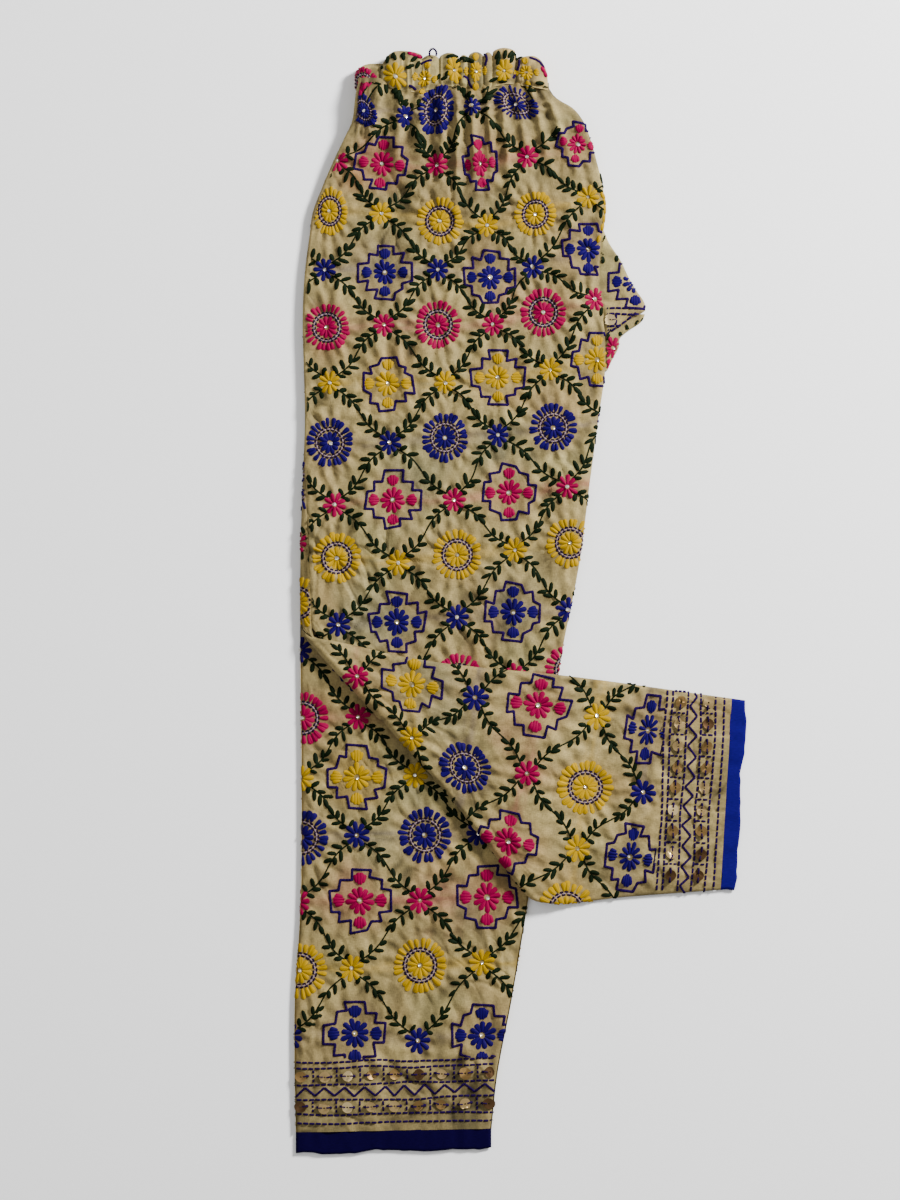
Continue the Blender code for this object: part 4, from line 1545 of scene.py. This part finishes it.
def add_cross(kit, motif):
    place = motif_place(motif)
    seed = motif.x * 500 + motif.below * 900
    step = np.arange(len(CROSS_OUTLINE)) % (len(CROSS_OUTLINE) - 1)
    across = hashed(step, motif.row, motif.column + 1)
    down = hashed(step, motif.column, motif.row + 4)
    wander = CROSS_WANDER * (2.0 * np.stack([across, down], axis=1) - 1.0)
    corners = place(CROSS_OUTLINE + wander)
    outlined = zip(corners[:-1], corners[1:]) if motif.row < CASING_ROW else ()
    for first, second in outlined:
        overlap = 0.6 * MM * (second - first) / np.linalg.norm(second - first)
        side = (first - overlap, second + overlap)
        sew_line(kit["violet"], side, CROSS_LINE)
    petals = 11
    tips = 0.46 * uneven(petals, seed, 0.1)
    sew_petals(kit, motif, around(petals, seed), 0.10, tips, 0.175 * motif.half_height)
    for angle in around(4):
        middle = spread(np.array([angle]), 0.70)[0]
        out = spread(np.array([angle]), 1.0)[0]
        side = np.array([-out[1], out[0]])
        for shift in (-0.145, -0.05, 0.05, 0.145):
            rounding = np.sqrt(1.0 - (shift / 0.19) ** 2)
            start = middle - out * (0.22 - 0.6 * abs(shift)) + side * shift * 0.8
            end = middle + out * 0.20 * rounding + side * shift
            sew(kit[motif.colour], PETAL, place(start), place(end), 0.17 * motif.half_height)
    add_centre(kit, place, motif)


def add_small(kit, motif):
    seed = motif.x * 300 + motif.below * 500
    petals = 9
    tips = uneven(petals, seed, 0.08)
    sew_petals(kit, motif, around(petals, seed), 0.18, tips, 0.40 * motif.half_height)
    add_centre(kit, motif_place(motif), motif)


SEQUIN_AROUND = 14
SEQUIN_LIFT = 0.9 * MM


def add_sequin(kit, key, centre, radius, tilt=0.0):
    """A cupped disc with a hole, sewn on over the cloth."""
    angles = np.linspace(0.0, 2 * np.pi, SEQUIN_AROUND + 1)
    radii = np.array([0.16, 0.45, 0.8, 1.0]) * radius
    heights = np.array([0.35, 0.45, 0.75, 1.0]) * 0.5 * MM + SEQUIN_LIFT
    x = centre[0] + np.sin(angles)[None, :] * radii[:, None]
    below = centre[1] + np.cos(angles)[None, :] * radii[:, None]
    lift = heights[:, None] + tilt * np.sin(angles)[None, :] * radii[:, None]
    grid = np.stack([x, below, lift], axis=-1)[None, ::-1]
    places = np.stack([x - centre[0], below - centre[1]], axis=-1)[None, ::-1] * 1000.0 + centre[0] * 3000.0
    kit[key].add_grids(grid, places)


def add_centre(kit, place, motif):
    centre = place((0.0, 0.0))
    shine = hashed(motif.row, motif.column, 4)
    off = (hashed(motif.column, motif.row, 5) - 0.5) * 1.6 * MM
    add_sequin(kit, "glint", centre + off, (0.8 + 0.75 * shine) * MM, 0.9 * (shine - 0.5))


# A sprig's leaves: how far along its stem each one leaves it, and the angle it makes, in degrees
Leaf = namedtuple("Leaf", "share angle size")
SPRIG_LEAVES = rows_of(
    Leaf,
    (0.02, 66, 0.85),
    (0.08, -60, 0.9),
    (0.23, 50, 1.05),
    (0.32, -48, 1.08),
    (0.48, 42, 1.05),
    (0.58, -40, 1.0),
    (0.66, 14, 1.05),
)
LEAF_LENGTH = 9.0 * MM
SHORT_SPRIG = 15 * MM
LEAF_WIDTH = 3.9 * MM


def on_medallion(place, medallions):
    """True where a leaf's tip would lie on a wheel, or well inside a cross."""
    for motif in medallions:
        reach = 1.06 if motif.shape == "wheel" else 0.86
        across = (place[0] - motif.x) / motif.half_width
        if np.hypot(across, (place[1] - motif.below) / motif.half_height) < reach:
            return True
    return False


def add_sprig(kit, start, end, bend, seed, medallions):
    """A thin stem with leaves in pairs and one at its tip."""
    along = end - start
    length = np.linalg.norm(along)
    side = np.array([-along[1], along[0]]) / length
    shares = np.linspace(0.0, 1.0, 9)
    path = start + along * shares[:, None] + side * (bend * np.sin(np.pi * shares))[:, None]
    sew_line(kit["green"], path, STEM)
    for step, leaf in enumerate(SPRIG_LEAVES):
        if leaf.share > 0.5 and hashed(step, seed, 9) < 0.12:
            continue
        if length < SHORT_SPRIG and step % 2:
            continue
        root = np.array([np.interp(leaf.share, shares, path[:, axis]) for axis in (0, 1)])
        heading = np.arctan2(along[1], along[0]) + np.radians(leaf.angle)
        heading += 0.5 * (hashed(step, seed, 5) - 0.5)
        size = LEAF_LENGTH * leaf.size * (0.85 + 0.3 * hashed(step, seed, 6))
        direction = np.array([np.cos(heading), np.sin(heading)])
        width = LEAF_WIDTH * (0.85 + 0.3 * hashed(step, seed, 7))
        if on_medallion(root + direction * size, medallions):
            continue
        sew(kit["green"], LEAF, root + direction * 0.8 * MM, root + direction * size, width, 0.7 * MM)


# How far the next motif would be, across and along, where a panel ends
LATTICE_PITCH = 52 * MM


def add_sprigs(kit, motifs):
    """Four sprigs from each small flower towards its diagonal neighbours, meeting theirs half way."""
    found = {(motif.row, motif.column): motif for motif in motifs}
    medallions = [motif for motif in motifs if motif.shape != "small"]
    for motif in motifs:
        if motif.shape != "small":
            continue
        centre = np.array([motif.x, motif.below])
        for up, right in ((-1, -1), (-1, 1), (1, -1), (1, 1)):
            if motif.row == 0 and up < 0:
                continue
            other = found.get((motif.row + up, motif.column + right))
            target = (other.x, other.below) if other else centre + np.array([right, -up]) * LATTICE_PITCH
            way = target - centre
            distance = np.linalg.norm(way)
            way = way / distance
            start = centre + way * motif.half_height * 0.8
            end = centre + way * distance * 0.5
            seed = motif.row * 13 + motif.column * 7 + up * 3 + right
            add_sprig(kit, start, end, 2.4 * MM * right * up, seed, medallions)


DRAW = {"wheel": add_wheel, "cross": add_cross, "small": add_small}


def sewn_kit(motifs=(), shapes=tuple(DRAW), sprigs=True):
    """Stitches sorted by thread and sequin: a panel's motifs, and the sprigs between them."""
    kit = {key: Stitches() for key in (*THREADS, *sequin_looks)}
    for motif in motifs:
        if motif.shape in shapes:
            DRAW[motif.shape](kit, motif)
    if sprigs:
        add_sprigs(kit, motifs)
    return kit


sewn_on = {}
PROUD = 0.3 * MM
LOWEST_STITCH = 0.1 * MM


def lay_stitches(kit, surface, inside, cloth, prefix, flip=1):
    """Lays a panel's stitches on its surface, leaving out those that fall outside it."""
    sewn = sewn_on.setdefault(cloth.name, [])
    looks = {**thread_looks, **sequin_looks}
    for key, stitches in kit.items():
        if not stitches.count:
            continue
        points = np.concatenate(stitches.points)
        places = np.concatenate(stitches.places)
        faces = np.concatenate(stitches.faces)
        kept = inside(points[:, 0], points[:, 1])
        faces = faces[kept[faces].all(axis=1)]
        used, renamed = np.unique(faces, return_inverse=True)
        if not len(used):
            continue
        x, below, lift = points[used].T
        normal = normals_of(surface, x, below, flip)
        laid = surface(x, below) + normal * (lift[:, None] + PROUD)
        laid[:, 2] = np.maximum(laid[:, 2], LOWEST_STITCH)
        name = prefix + "_" + key + "_stitches"
        sewn.append(build_mesh(name, laid, renamed.reshape(-1, 4), places[used], looks[key]))


# The border of running stitches, squares and sequins at each hem

# Distances up from the hem band, in millimetres
BORDER_LINES = (60.9, 55.7, 41.8, 27.8, 14.8, 7.0)
FIRST_SQUARES = (55.7, 41.8)
SECOND_SQUARES = (27.8, 14.8)
ZIGZAG = (39.5, 31.0)
SQUARE_WIDTH = 20.4 * MM
ZIG_WIDTH = 8.7 * MM
TURNED_BORDER_SCALE = 0.92
SEQUIN_RADIUS = 4.7 * MM
SIDE_STITCH_REACH = 6.8 * MM

# The sequins' shades along each row of squares, from the outseam
LOWER_FIRST = "mclmmdcmd"
LOWER_SECOND = "dclccmmcd"
TURNED_FIRST = "mccmmlmcd"
TURNED_SECOND = "cdmmccmdd"
SHADES = {"m": "sequin", "c": "cream_sequin", "l": "bright_sequin", "d": "dark_sequin"}


def draw_border(leg, scale, first_shades, second_shades, seed):
    """The border across one leg, in cloth coordinates measured from the hem's own line."""
    kit = sewn_kit()
    start = np.array([leg.left(leg.hem[0]), leg.hem[0]])
    end = np.array([leg.right(leg.hem[1]), leg.hem[1]])
    width = np.linalg.norm(end - start)
    along = (end - start) / width
    up = np.array([along[1], -along[0]])

    def place(across, above):
        across = np.asarray(across, float)
        above = np.asarray(above, float) * MM * scale
        wave = 1.2 * MM * grain(across, above, 34, 14, seed)
        return start + along * across[..., None] + up * (above + wave)[..., None]

    reach = np.linspace(-4 * MM, width + 4 * MM, 60)
    for above in BORDER_LINES:
        sew_line(kit["violet"], place(reach, np.full(60, above)), RUNNING, above)
    zigs = np.arange(-1, int(width / ZIG_WIDTH) + 2)
    heights = np.where(zigs % 2, *ZIGZAG) + 0.9 * (hashed(zigs, seed, 1) - 0.5)
    corners = place(zigs * ZIG_WIDTH + 1.4 * MM * (hashed(zigs, seed, 2) - 0.5), heights)
    for side in zip(corners[:-1], corners[1:]):
        sew_line(kit["violet"], side, ZIGZAG_LINE)
    rows = ((FIRST_SQUARES, first_shades, -0.20), (SECOND_SQUARES, second_shades, -0.25))
    for (high, low), shades, lead in rows:
        for step, shade in enumerate(shades):
            divider = (step + lead) * SQUARE_WIDTH * scale
            path = place(np.full(5, divider), np.linspace(high - 1.2, low + 1.2, 5))
            sew_line(kit["violet"], path, DIVIDER, step)
            middle = divider + (0.5 + 0.08 * (hashed(step, seed, 4) - 0.5)) * SQUARE_WIDTH * scale
            centre = place(middle, (high + low) / 2 + 0.8 * (hashed(step, seed, 5) - 0.5))
            tilt = 0.12 * (hashed(step, seed, 6) - 0.5)
            add_sequin(kit, SHADES[shade], centre, SEQUIN_RADIUS * (0.94 + 0.1 * hashed(step, seed, 7)), tilt)
            for side in (-1, 1):
                if not 0.0 < middle + side * SIDE_STITCH_REACH < width:
                    continue
                lean = 0.35 * (hashed(step, side, 8) - 0.5)
                direction = along * np.cos(lean) + up * np.sin(lean)
                ends = (centre + direction * side * 1.2 * MM, centre + direction * side * SIDE_STITCH_REACH)
                sew_line(kit["violet"], ends, SIDE_STITCH)
    return kit


def between(x, below, left, right):
    return (x > left(below)) & (x < right(below))


# Leaves on the casing that belong to no sprig, in pixels, with the way each points in degrees
WaistLeaf = namedtuple("WaistLeaf", "x y angle length")
WAIST_LEAVES = rows_of(
    WaistLeaf,
    (392, 61, -70, 5.0),
    (396, 63, -110, 5.5),
    (401, 60, -50, 5.0),
    (404, 63, -95, 5.5),
    (411, 64, -40, 6.5),
    (406, 70, -20, 7.0),
    (446, 60, -15, 7.5),
    (450, 58, 10, 6.5),
    (459, 61, -5, 7.5),
    (495, 62, -60, 6.5),
    (499, 63, -95, 7.5),
    (504, 62, -80, 7.5),
    (508, 61, -60, 7.0),
    (511, 58, -30, 6.0),
    (437, 82, -60, 5.0),
    (441, 83, -20, 5.5),
    (446, 80, -70, 5.0),
    (387, 66, -80, 6.0),
    (383, 72, -120, 5.5),
    (416, 70, -60, 6.0),
    (455, 66, -40, 6.0),
    (463, 64, -20, 6.5),
    (467, 62, 20, 6.0),
    (497, 68, -80, 6.5),
    (510, 66, -70, 7.0),
    (515, 62, -30, 6.5),
    (489, 84, -10, 7.0),
    (498, 86, 10, 7.0),
    (535, 86, -10, 7.0),
    (543, 88, 15, 6.5),
)
# Pink stitches along the casing's top edge, from another quarter of it
WAIST_PINKS = rows_of(
    WaistLeaf,
    (408, 55, 20, 4.5),
    (412, 56, 25, 5.0),
    (417, 58, 20, 4.5),
    (541, 69, 60, 5.0),
    (544, 73, 70, 4.5),
)
# Violet bits of the squeezed crosses' outlines, as paths of pixels
WAIST_OUTLINES = (
    ((421, 66), (427, 63.5), (432, 62.5)),
    ((409, 84.5), (414, 86), (418, 90), (421, 93)),
    ((484, 54.5), (487, 60), (485, 68)),
    ((463.5, 78), (468, 79), (469, 84), (475, 91), (484, 90)),
    ((519, 62), (518.5, 70), (515, 78), (513, 84)),
    ((529, 60), (538, 63), (544, 70)),
)
# Where the hidden layer's pink wheel shows beside the front: petals, violet stitches and the dark edge
CORNER_PINKS = rows_of(
    WaistLeaf,
    (360, 101, -75, 6.5),
    (358.5, 95, -72, 6.5),
    (362, 97, -60, 7.0),
    (359, 88, -64, 6.0),
    (363, 91, -56, 6.5),
    (366.5, 93, -50, 6.5),
    (361, 83, -55, 5.5),
    (368, 88, -44, 6.0),
    (371, 83.5, -40, 5.0),
    (364, 79, -40, 5.5),
    (370, 79, -20, 5.5),
)
CORNER_OUTLINES = (
    ((360, 86), (363.5, 84), (367, 81), (370, 80)),
    ((362, 88.5), (365.5, 86.5), (369, 83.5)),
)
CORNER_EDGE = ((382, 73.5), (376, 80), (370, 88), (364, 97), (361, 102))
EDGE_YELLOWS = rows_of(
    WaistLeaf,
    (601, 193, 60, 6.5),
    (604, 198, 75, 6.5),
    (605.5, 206, 90, 7.0),
    (605, 215, 95, 7.0),
    (603.5, 224, 100, 6.0),
    (600, 236, 110, 6.0),
)


front_kit = sewn_kit(front_motifs)
sew_leaves(front_kit[PINK], CORNER_PINKS, width=4.2 * MM)
sew_leaves(front_kit[YELLOW], EDGE_YELLOWS, width=4.2 * MM)
for outline in CORNER_OUTLINES:
    sew_line(front_kit["violet"], traced(outline), CORNER_LINE)
sew_line(front_kit["green"], traced(CORNER_EDGE), CORNER_HEM)

waist_kit = sewn_kit([motif for motif in front_motifs if motif.row == CASING_ROW], sprigs=False)
sew_leaves(waist_kit["green"], WAIST_LEAVES, width=3.7 * MM)
sew_leaves(waist_kit[PINK], WAIST_PINKS, width=3.7 * MM)
for outline in WAIST_OUTLINES:
    sew_line(waist_kit["violet"], traced(outline), WAIST_LINE)


def in_casing(x, below):
    inside = (x > CASING_LEFT - 1 * MM) & (x < CASING_RIGHT + 1 * MM)
    return inside & (below < CASING_DEPTH) & (below > -2 * MM)


def in_layers(x, below):
    return (x > HIDDEN_CASING_LEFT - 3 * MM) & (x < CASING_LEFT + 4 * MM) & (below < CASING_DEPTH + 1 * MM)


lay_stitches(waist_kit, waist_surface, in_casing, waistband_cloth, "waistband_front")
layer_kit = sewn_kit(layer_motifs, sprigs=False)
lay_stitches(layer_kit, waist_layers_surface, in_layers, waist_layers_cloth, "waistband_layers")

# The gusset is cut from a border, so its upper piece carries part of one
GUSSET_LINES = (
    ((603, 309), (618, 308.5), (630, 309), (641, 309)),
    ((603, 315), (617, 314), (628, 315), (640, 314.5)),
    ((603, 327.5), (612, 326.5), (622, 326)),
    ((615.5, 314), (616, 320), (615, 326.5)),
    ((636, 313), (625, 322), (612, 331), (605, 336)),
    ((639, 317), (628, 326), (616, 333), (607, 338)),
    ((604, 329.5), (613, 331), (621, 329)),
    ((604, 333.5), (611, 335.5), (619, 332.5), (627, 327.5)),
    ((634, 321.5), (629, 329), (619, 335.5), (609, 339)),
)
GUSSET_SEQUIN = (609.8, 320.2)


def draw_gusset_border(kit):
    """Part of a border: running stitches and one sequin with a stitch on each side."""
    for step, path in enumerate(GUSSET_LINES):
        sew_line(kit["violet"], traced(path), GUSSET_LINE, step)
    centre = np.array(from_photo(*GUSSET_SEQUIN))
    add_sequin(kit, "bright_sequin", centre, SEQUIN_RADIUS, 0.05)
    for side in (-1, 1):
        ends = (centre + np.array([side * 1.0, 0.3]) * MM, centre + np.array([side * 5.2, -0.6]) * MM)
        sew_line(kit["violet"], ends, GUSSET_SIDE_STITCH)


upper_gusset_kit = sewn_kit(upper_gusset_motifs, shapes=("cross",))
draw_gusset_border(upper_gusset_kit)
lower_gusset_kit = sewn_kit(lower_gusset_motifs)
GUSSET_SEAM = shifted(stack_right, 1 * MM)


def in_upper_gusset(x, below):
    return between(x, below, GUSSET_SEAM, shifted(upper_gusset_right, -0.2 * MM)) & (below > GUSSET_TOP)


def in_lower_gusset(x, below):
    inside = between(x, below, GUSSET_SEAM, shifted(gusset_outer, -0.2 * MM))
    return inside & (below > GUSSET_TIP + 4 * MM) & (below < GUSSET_BOTTOM)


lay_stitches(
    upper_gusset_kit, upper_gusset_surface, in_upper_gusset, upper_gusset_cloth, "crotch_gusset_upper"
)
lay_stitches(
    lower_gusset_kit, lower_gusset_surface, in_lower_gusset, lower_gusset_cloth, "crotch_gusset_lower"
)


# Stitches stop short of the outseam and of the crease
SEAM_SPARE = 0.4 * MM
CREASE_SPARE = 0.5 * MM


def in_front(x, below):
    inside = between(x, below, shifted(outseam, SEAM_SPARE), shifted(left_leg.right, 0.5 * RIM_RADIUS))
    return inside & (below > CASING_DEPTH - 1 * MM) & (beyond_crease(x, below) < -CREASE_SPARE)


def in_edge(x, below):
    inside = between(x, below, shifted(left_leg.left, -0.6 * RIM_RADIUS), shifted(outseam, -SEAM_SPARE))
    return inside & (beyond_crease(x, below) < -CREASE_SPARE)


lay_stitches(front_kit, front_surface, in_front, front_cloth, "left_front")
lay_stitches(sewn_kit(edge_motifs), front_surface, in_edge, edge_cloth, "left_back_edge")


def above_hem(x, below, leg):
    """How far above a leg's hem line a place is."""
    share = (x - leg.left(below)) / (leg.right(below) - leg.left(below))
    return leg.hem[0] + (leg.hem[1] - leg.hem[0]) * share - below


def on_rims(x, below, leg, share):
    """True between a leg's edges and on a share of its rolled rims."""
    return between(x, below, shifted(leg.left, -share * RIM_RADIUS), shifted(leg.right, share * RIM_RADIUS))


def on_leg(x, below, leg, least_beyond, least_above):
    """True on a leg, so far beyond the crease and so far above the hem."""
    past = (beyond_crease(x, below) > least_beyond) & (above_hem(x, below, leg) > least_above)
    return past & on_rims(x, below, leg, 0.5)


BORDER_HIGH = (BORDER_LINES[0] + 1) * MM


def in_turned(x, below):
    return on_leg(x, below, left_leg, 1 * MM, 0.0)


def above_turned_border(x, below):
    return on_leg(x, below, left_leg, 1 * MM, BORDER_HIGH * TURNED_BORDER_SCALE)


def in_lower(x, below):
    return on_leg(x, below, right_leg, -6 * MM, 0.0)


def above_lower_border(x, below):
    return on_leg(x, below, right_leg, -6 * MM, BORDER_HIGH)


def in_under(x, below):
    border_top = sum(RIGHT_HEM) / 2 - BORDER_LINES[0] * MM
    return on_rims(x, below, right_leg, 0.3) & (below > CASING_DEPTH) & (below < border_top)


turned_kit = sewn_kit(turned_motifs)
turned_border = draw_border(left_leg, TURNED_BORDER_SCALE, TURNED_FIRST, TURNED_SECOND, 5)
lay_stitches(turned_kit, turned_surface, above_turned_border, turned_cloth, "left_back", flip=-1)
lay_stitches(turned_border, turned_surface, in_turned, turned_cloth, "left_back_border", flip=-1)
lay_stitches(turned_kit, turned_under_surface, above_turned_border, turned_under_cloth, "left_front_turned")
lay_stitches(turned_border, turned_under_surface, in_turned, turned_under_cloth, "left_front_border")

lower_border = draw_border(right_leg, 1.0, LOWER_FIRST, LOWER_SECOND, 9)
under_border = draw_border(right_leg, 1.0, LOWER_SECOND, LOWER_FIRST, 15)
lay_stitches(sewn_kit(lower_motifs), lower_surface, above_lower_border, lower_cloth, "right_back")
lay_stitches(lower_border, lower_surface, in_lower, lower_cloth, "right_back_border")
lay_stitches(sewn_kit(under_motifs), under_surface, in_under, under_cloth, "right_front", flip=-1)
lay_stitches(under_border, under_surface, in_lower, under_cloth, "right_front_border", flip=-1)

# A loose loop of thread that stands up from the casing's top edge: its pixel and its half sizes in pixels
LOOP_PLACE = (433, 56.5)
LOOP_WIDE = 3.6
LOOP_HIGH = 4.6
loop_kit = sewn_kit()
loop_angles = np.linspace(-0.15 * np.pi, 1.15 * np.pi, 13)
loop_x = LOOP_PLACE[0] + LOOP_WIDE * np.cos(loop_angles)
loop_y = LOOP_PLACE[1] - LOOP_HIGH * np.sin(loop_angles)
loop_points = np.stack(from_photo(loop_x, loop_y), axis=1)
sew(loop_kit["violet"], DASH, loop_points[:-1], loop_points[1:], 1.9 * MM, 1.2 * MM)


def loop_surface(x, below):
    return to_frame(x, below, 3 * WAIST_PITCH + 5 * MM + 0.4 * (CASING_DEPTH / 3 - below))


def anywhere(x, below):
    return np.full(np.shape(x), True)


lay_stitches(loop_kit, loop_surface, anywhere, waistband_cloth, "waistband_front_loop")


# The cut of each piece of cloth, and what it lies on

NARROWEST_CUT = 10.5 * MM
strip = cut_sizes[edge_cloth.name]
cut_sizes[edge_cloth.name] = strip._replace(width=max(strip.area / strip.length, NARROWEST_CUT))

# The gathers take up a quarter more cloth than the casing's width
GATHERED = 1.25
for casing in (waistband_cloth, waist_layers_cloth):
    drawn = cut_sizes[casing.name]
    cut_sizes[casing.name] = CutSize(drawn.width * GATHERED, drawn.length, drawn.area * GATHERED)

INNER = ["inner_layers_cloth"]
for cloth, held, rests_on in (
    (front_cloth, "folded", INNER),
    (edge_cloth, "folded", INNER),
    (turned_under_cloth, "folded", ["left_front_cloth"]),
    (turned_cloth, "folded", ["left_front_turned_cloth"]),
    (under_cloth, "folded", ()),
    (lower_cloth, "folded", ["right_front_cloth"]),
    (inner_cloth, "folded", ["right_front_cloth"]),
    (upper_gusset_cloth, "folded", INNER),
    (lower_gusset_cloth, "folded", INNER),
    (waistband_cloth, "gathered", INNER),
    (waist_layers_cloth, "gathered", INNER),
):
    size = cut_sizes[cloth.name]
    float(min(size.area, size.width * size.length))

for band, under in ((right_band, "right_back_cloth"), (left_band, "left_back_cloth")):
    size = cut_sizes[band.name]


# The floor, the lights and the camera

def in_scene(name, data):
    thing = bpy.data.objects.new(name, data)
    bpy.context.scene.collection.objects.link(thing)
    return thing


def add_floor():
    half = 3.0
    corners = [(-half, -half, 0.0), (half, -half, 0.0), (half, half, 0.0), (-half, half, 0.0)]
    mesh = bpy.data.meshes.new("floor")
    mesh.from_pydata(corners, [], [(0, 1, 2, 3)])
    material, _, _, shader = new_material("pale_floor", 0.9)
    shader.inputs["Base Color"].default_value = (0.93, 0.93, 0.93, 1.0)
    mesh.materials.append(material)
    in_scene("floor", mesh)


def add_light(name, place, size, power):
    lamp = bpy.data.lights.new(name, "AREA")
    lamp.size = size
    lamp.energy = power
    light = in_scene(name, lamp)
    light.location = place
    aim = light.constraints.new("TRACK_TO")
    aim.target = target
    aim.track_axis = "TRACK_NEGATIVE_Z"
    aim.up_axis = "UP_Y"


SENSOR_HEIGHT = 36.0


def add_camera():
    """Straight above the photograph's centre, with a long lens."""
    distance = 3.6
    frame_height = PHOTO_HEIGHT * PIXEL
    centre_x, centre_below = from_photo(PHOTO_WIDTH / 2, PHOTO_HEIGHT / 2)
    lens = bpy.data.cameras.new("camera")
    lens.sensor_fit = "VERTICAL"
    lens.sensor_height = SENSOR_HEIGHT
    lens.lens = SENSOR_HEIGHT * distance / frame_height
    camera = in_scene("camera", lens)
    camera.location = (centre_x + CENTRE_SHIFT, WAIST_TOP_Y - centre_below, distance)
    bpy.context.scene.camera = camera


add_floor()
target = in_scene("light_target", None)
add_light("key", place=(1.8, 1.5, 1.35), size=0.5, power=245)
add_light("fill", place=(-1.6, 0.4, 1.9), size=2.0, power=18)
world = bpy.data.worlds.new("studio")
world.use_nodes = True
background = world.node_tree.nodes["Background"]
background.inputs["Color"].default_value = (1.0, 1.0, 1.0, 1.0)
background.inputs["Strength"].default_value = 0.45
bpy.context.scene.world = world
add_camera()
